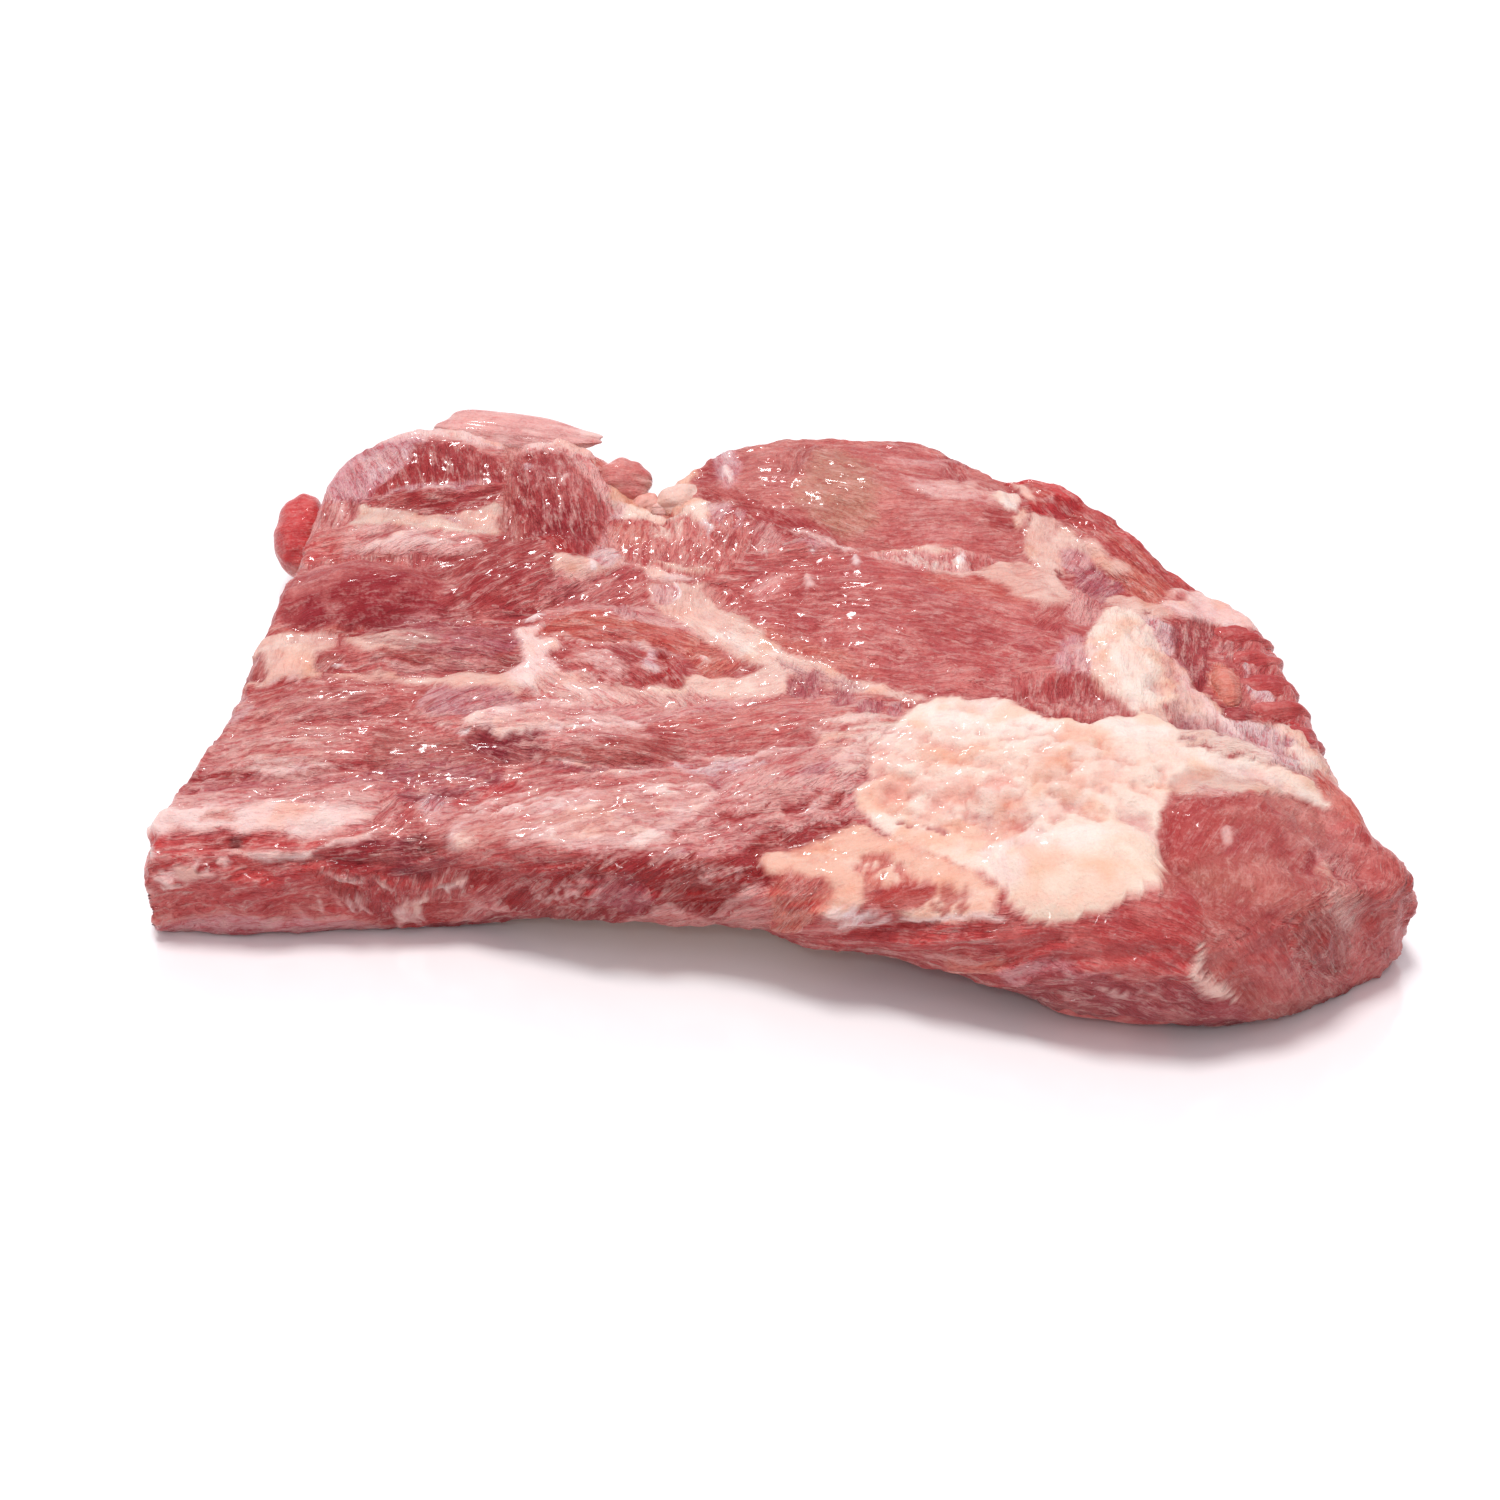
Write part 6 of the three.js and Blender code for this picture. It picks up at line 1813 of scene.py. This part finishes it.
def make_camera():
    """The photograph's view: straight along +Y and down."""
    elevation = math.radians(CAMERA_ELEVATION)
    data = bpy.data.cameras.new("camera")
    data.lens = LENS
    data.sensor_width = SENSOR
    camera = new_object("camera", data)
    back = CAMERA_DISTANCE * math.cos(elevation)
    rise = CAMERA_DISTANCE * math.sin(elevation)
    x, y, z = CAMERA_TARGET
    camera.location = (x, y - back, z + rise)
    camera.rotation_euler = (math.pi / 2 - elevation, 0, 0)
    bpy.context.scene.camera = camera


def make_surround():
    """A pale surround, brighter overhead than at the horizon."""
    world = bpy.data.worlds.new("studio")
    world.use_nodes = True
    tree = world.node_tree
    surround = tree.nodes["Background"]
    way = new_node(tree, "ShaderNodeSeparateXYZ")
    tree.links.new(new_node(tree, "ShaderNodeTexCoord").outputs["Generated"], way.inputs[0])
    up = maths(tree, "MAXIMUM", way.outputs[2], 0.0)
    tree.links.new(blend(tree, up, HORIZON_TINT, OVERHEAD_TINT), surround.inputs[0])
    tree.links.new(scaled(tree, up, OVERHEAD_GAIN, HORIZON_STRENGTH), surround.inputs[1])
    bpy.context.scene.world = world


def make_lights():
    """A wide light from above, and the small lights, which face the middle of the object."""
    data = bpy.data.lights.new("overhead_light", "SUN")
    data.energy = SUN_STRENGTH
    data.angle = math.radians(SUN_SPREAD)
    sun = new_object("overhead_light", data)
    sun.rotation_euler = tuple(math.radians(turn) for turn in SUN_TURN)
    sun.visible_glossy = False
    for name, (place, watts) in SPARKLE_LIGHTS.items():
        data = bpy.data.lights.new(name, "AREA")
        data.shape = "SQUARE"
        data.size = SPARKLE_SIZE
        data.energy = watts
        light = new_object(name, data)
        light.location = place
        light.rotation_mode = "QUATERNION"
        light.rotation_quaternion = (-Vector(place)).to_track_quat("-Z", "Y")


def make_floor():
    """The white surface under the slab."""
    mesh = bpy.data.meshes.new("floor")
    corners = [(x * FLOOR_REACH, y * FLOOR_REACH, 0) for x, y in ((-1, -1), (1, -1), (1, 1), (-1, 1))]
    mesh.from_pydata(corners, [], [(0, 1, 2, 3)])
    mesh.materials.append(new_material("white_table", FLOOR_FINISH))
    floor = new_object("floor", mesh)


# ---------- Scene ----------
bpy.context.scene.view_settings.view_transform = "Standard"
make_camera()
make_surround()
make_lights()
make_floor()
meat = meat_material()
for piece in [make_slab(meat), *(make_lobe(name, meat) for name in LOBES)]:
    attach(piece, BODY)
    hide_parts(NODE)
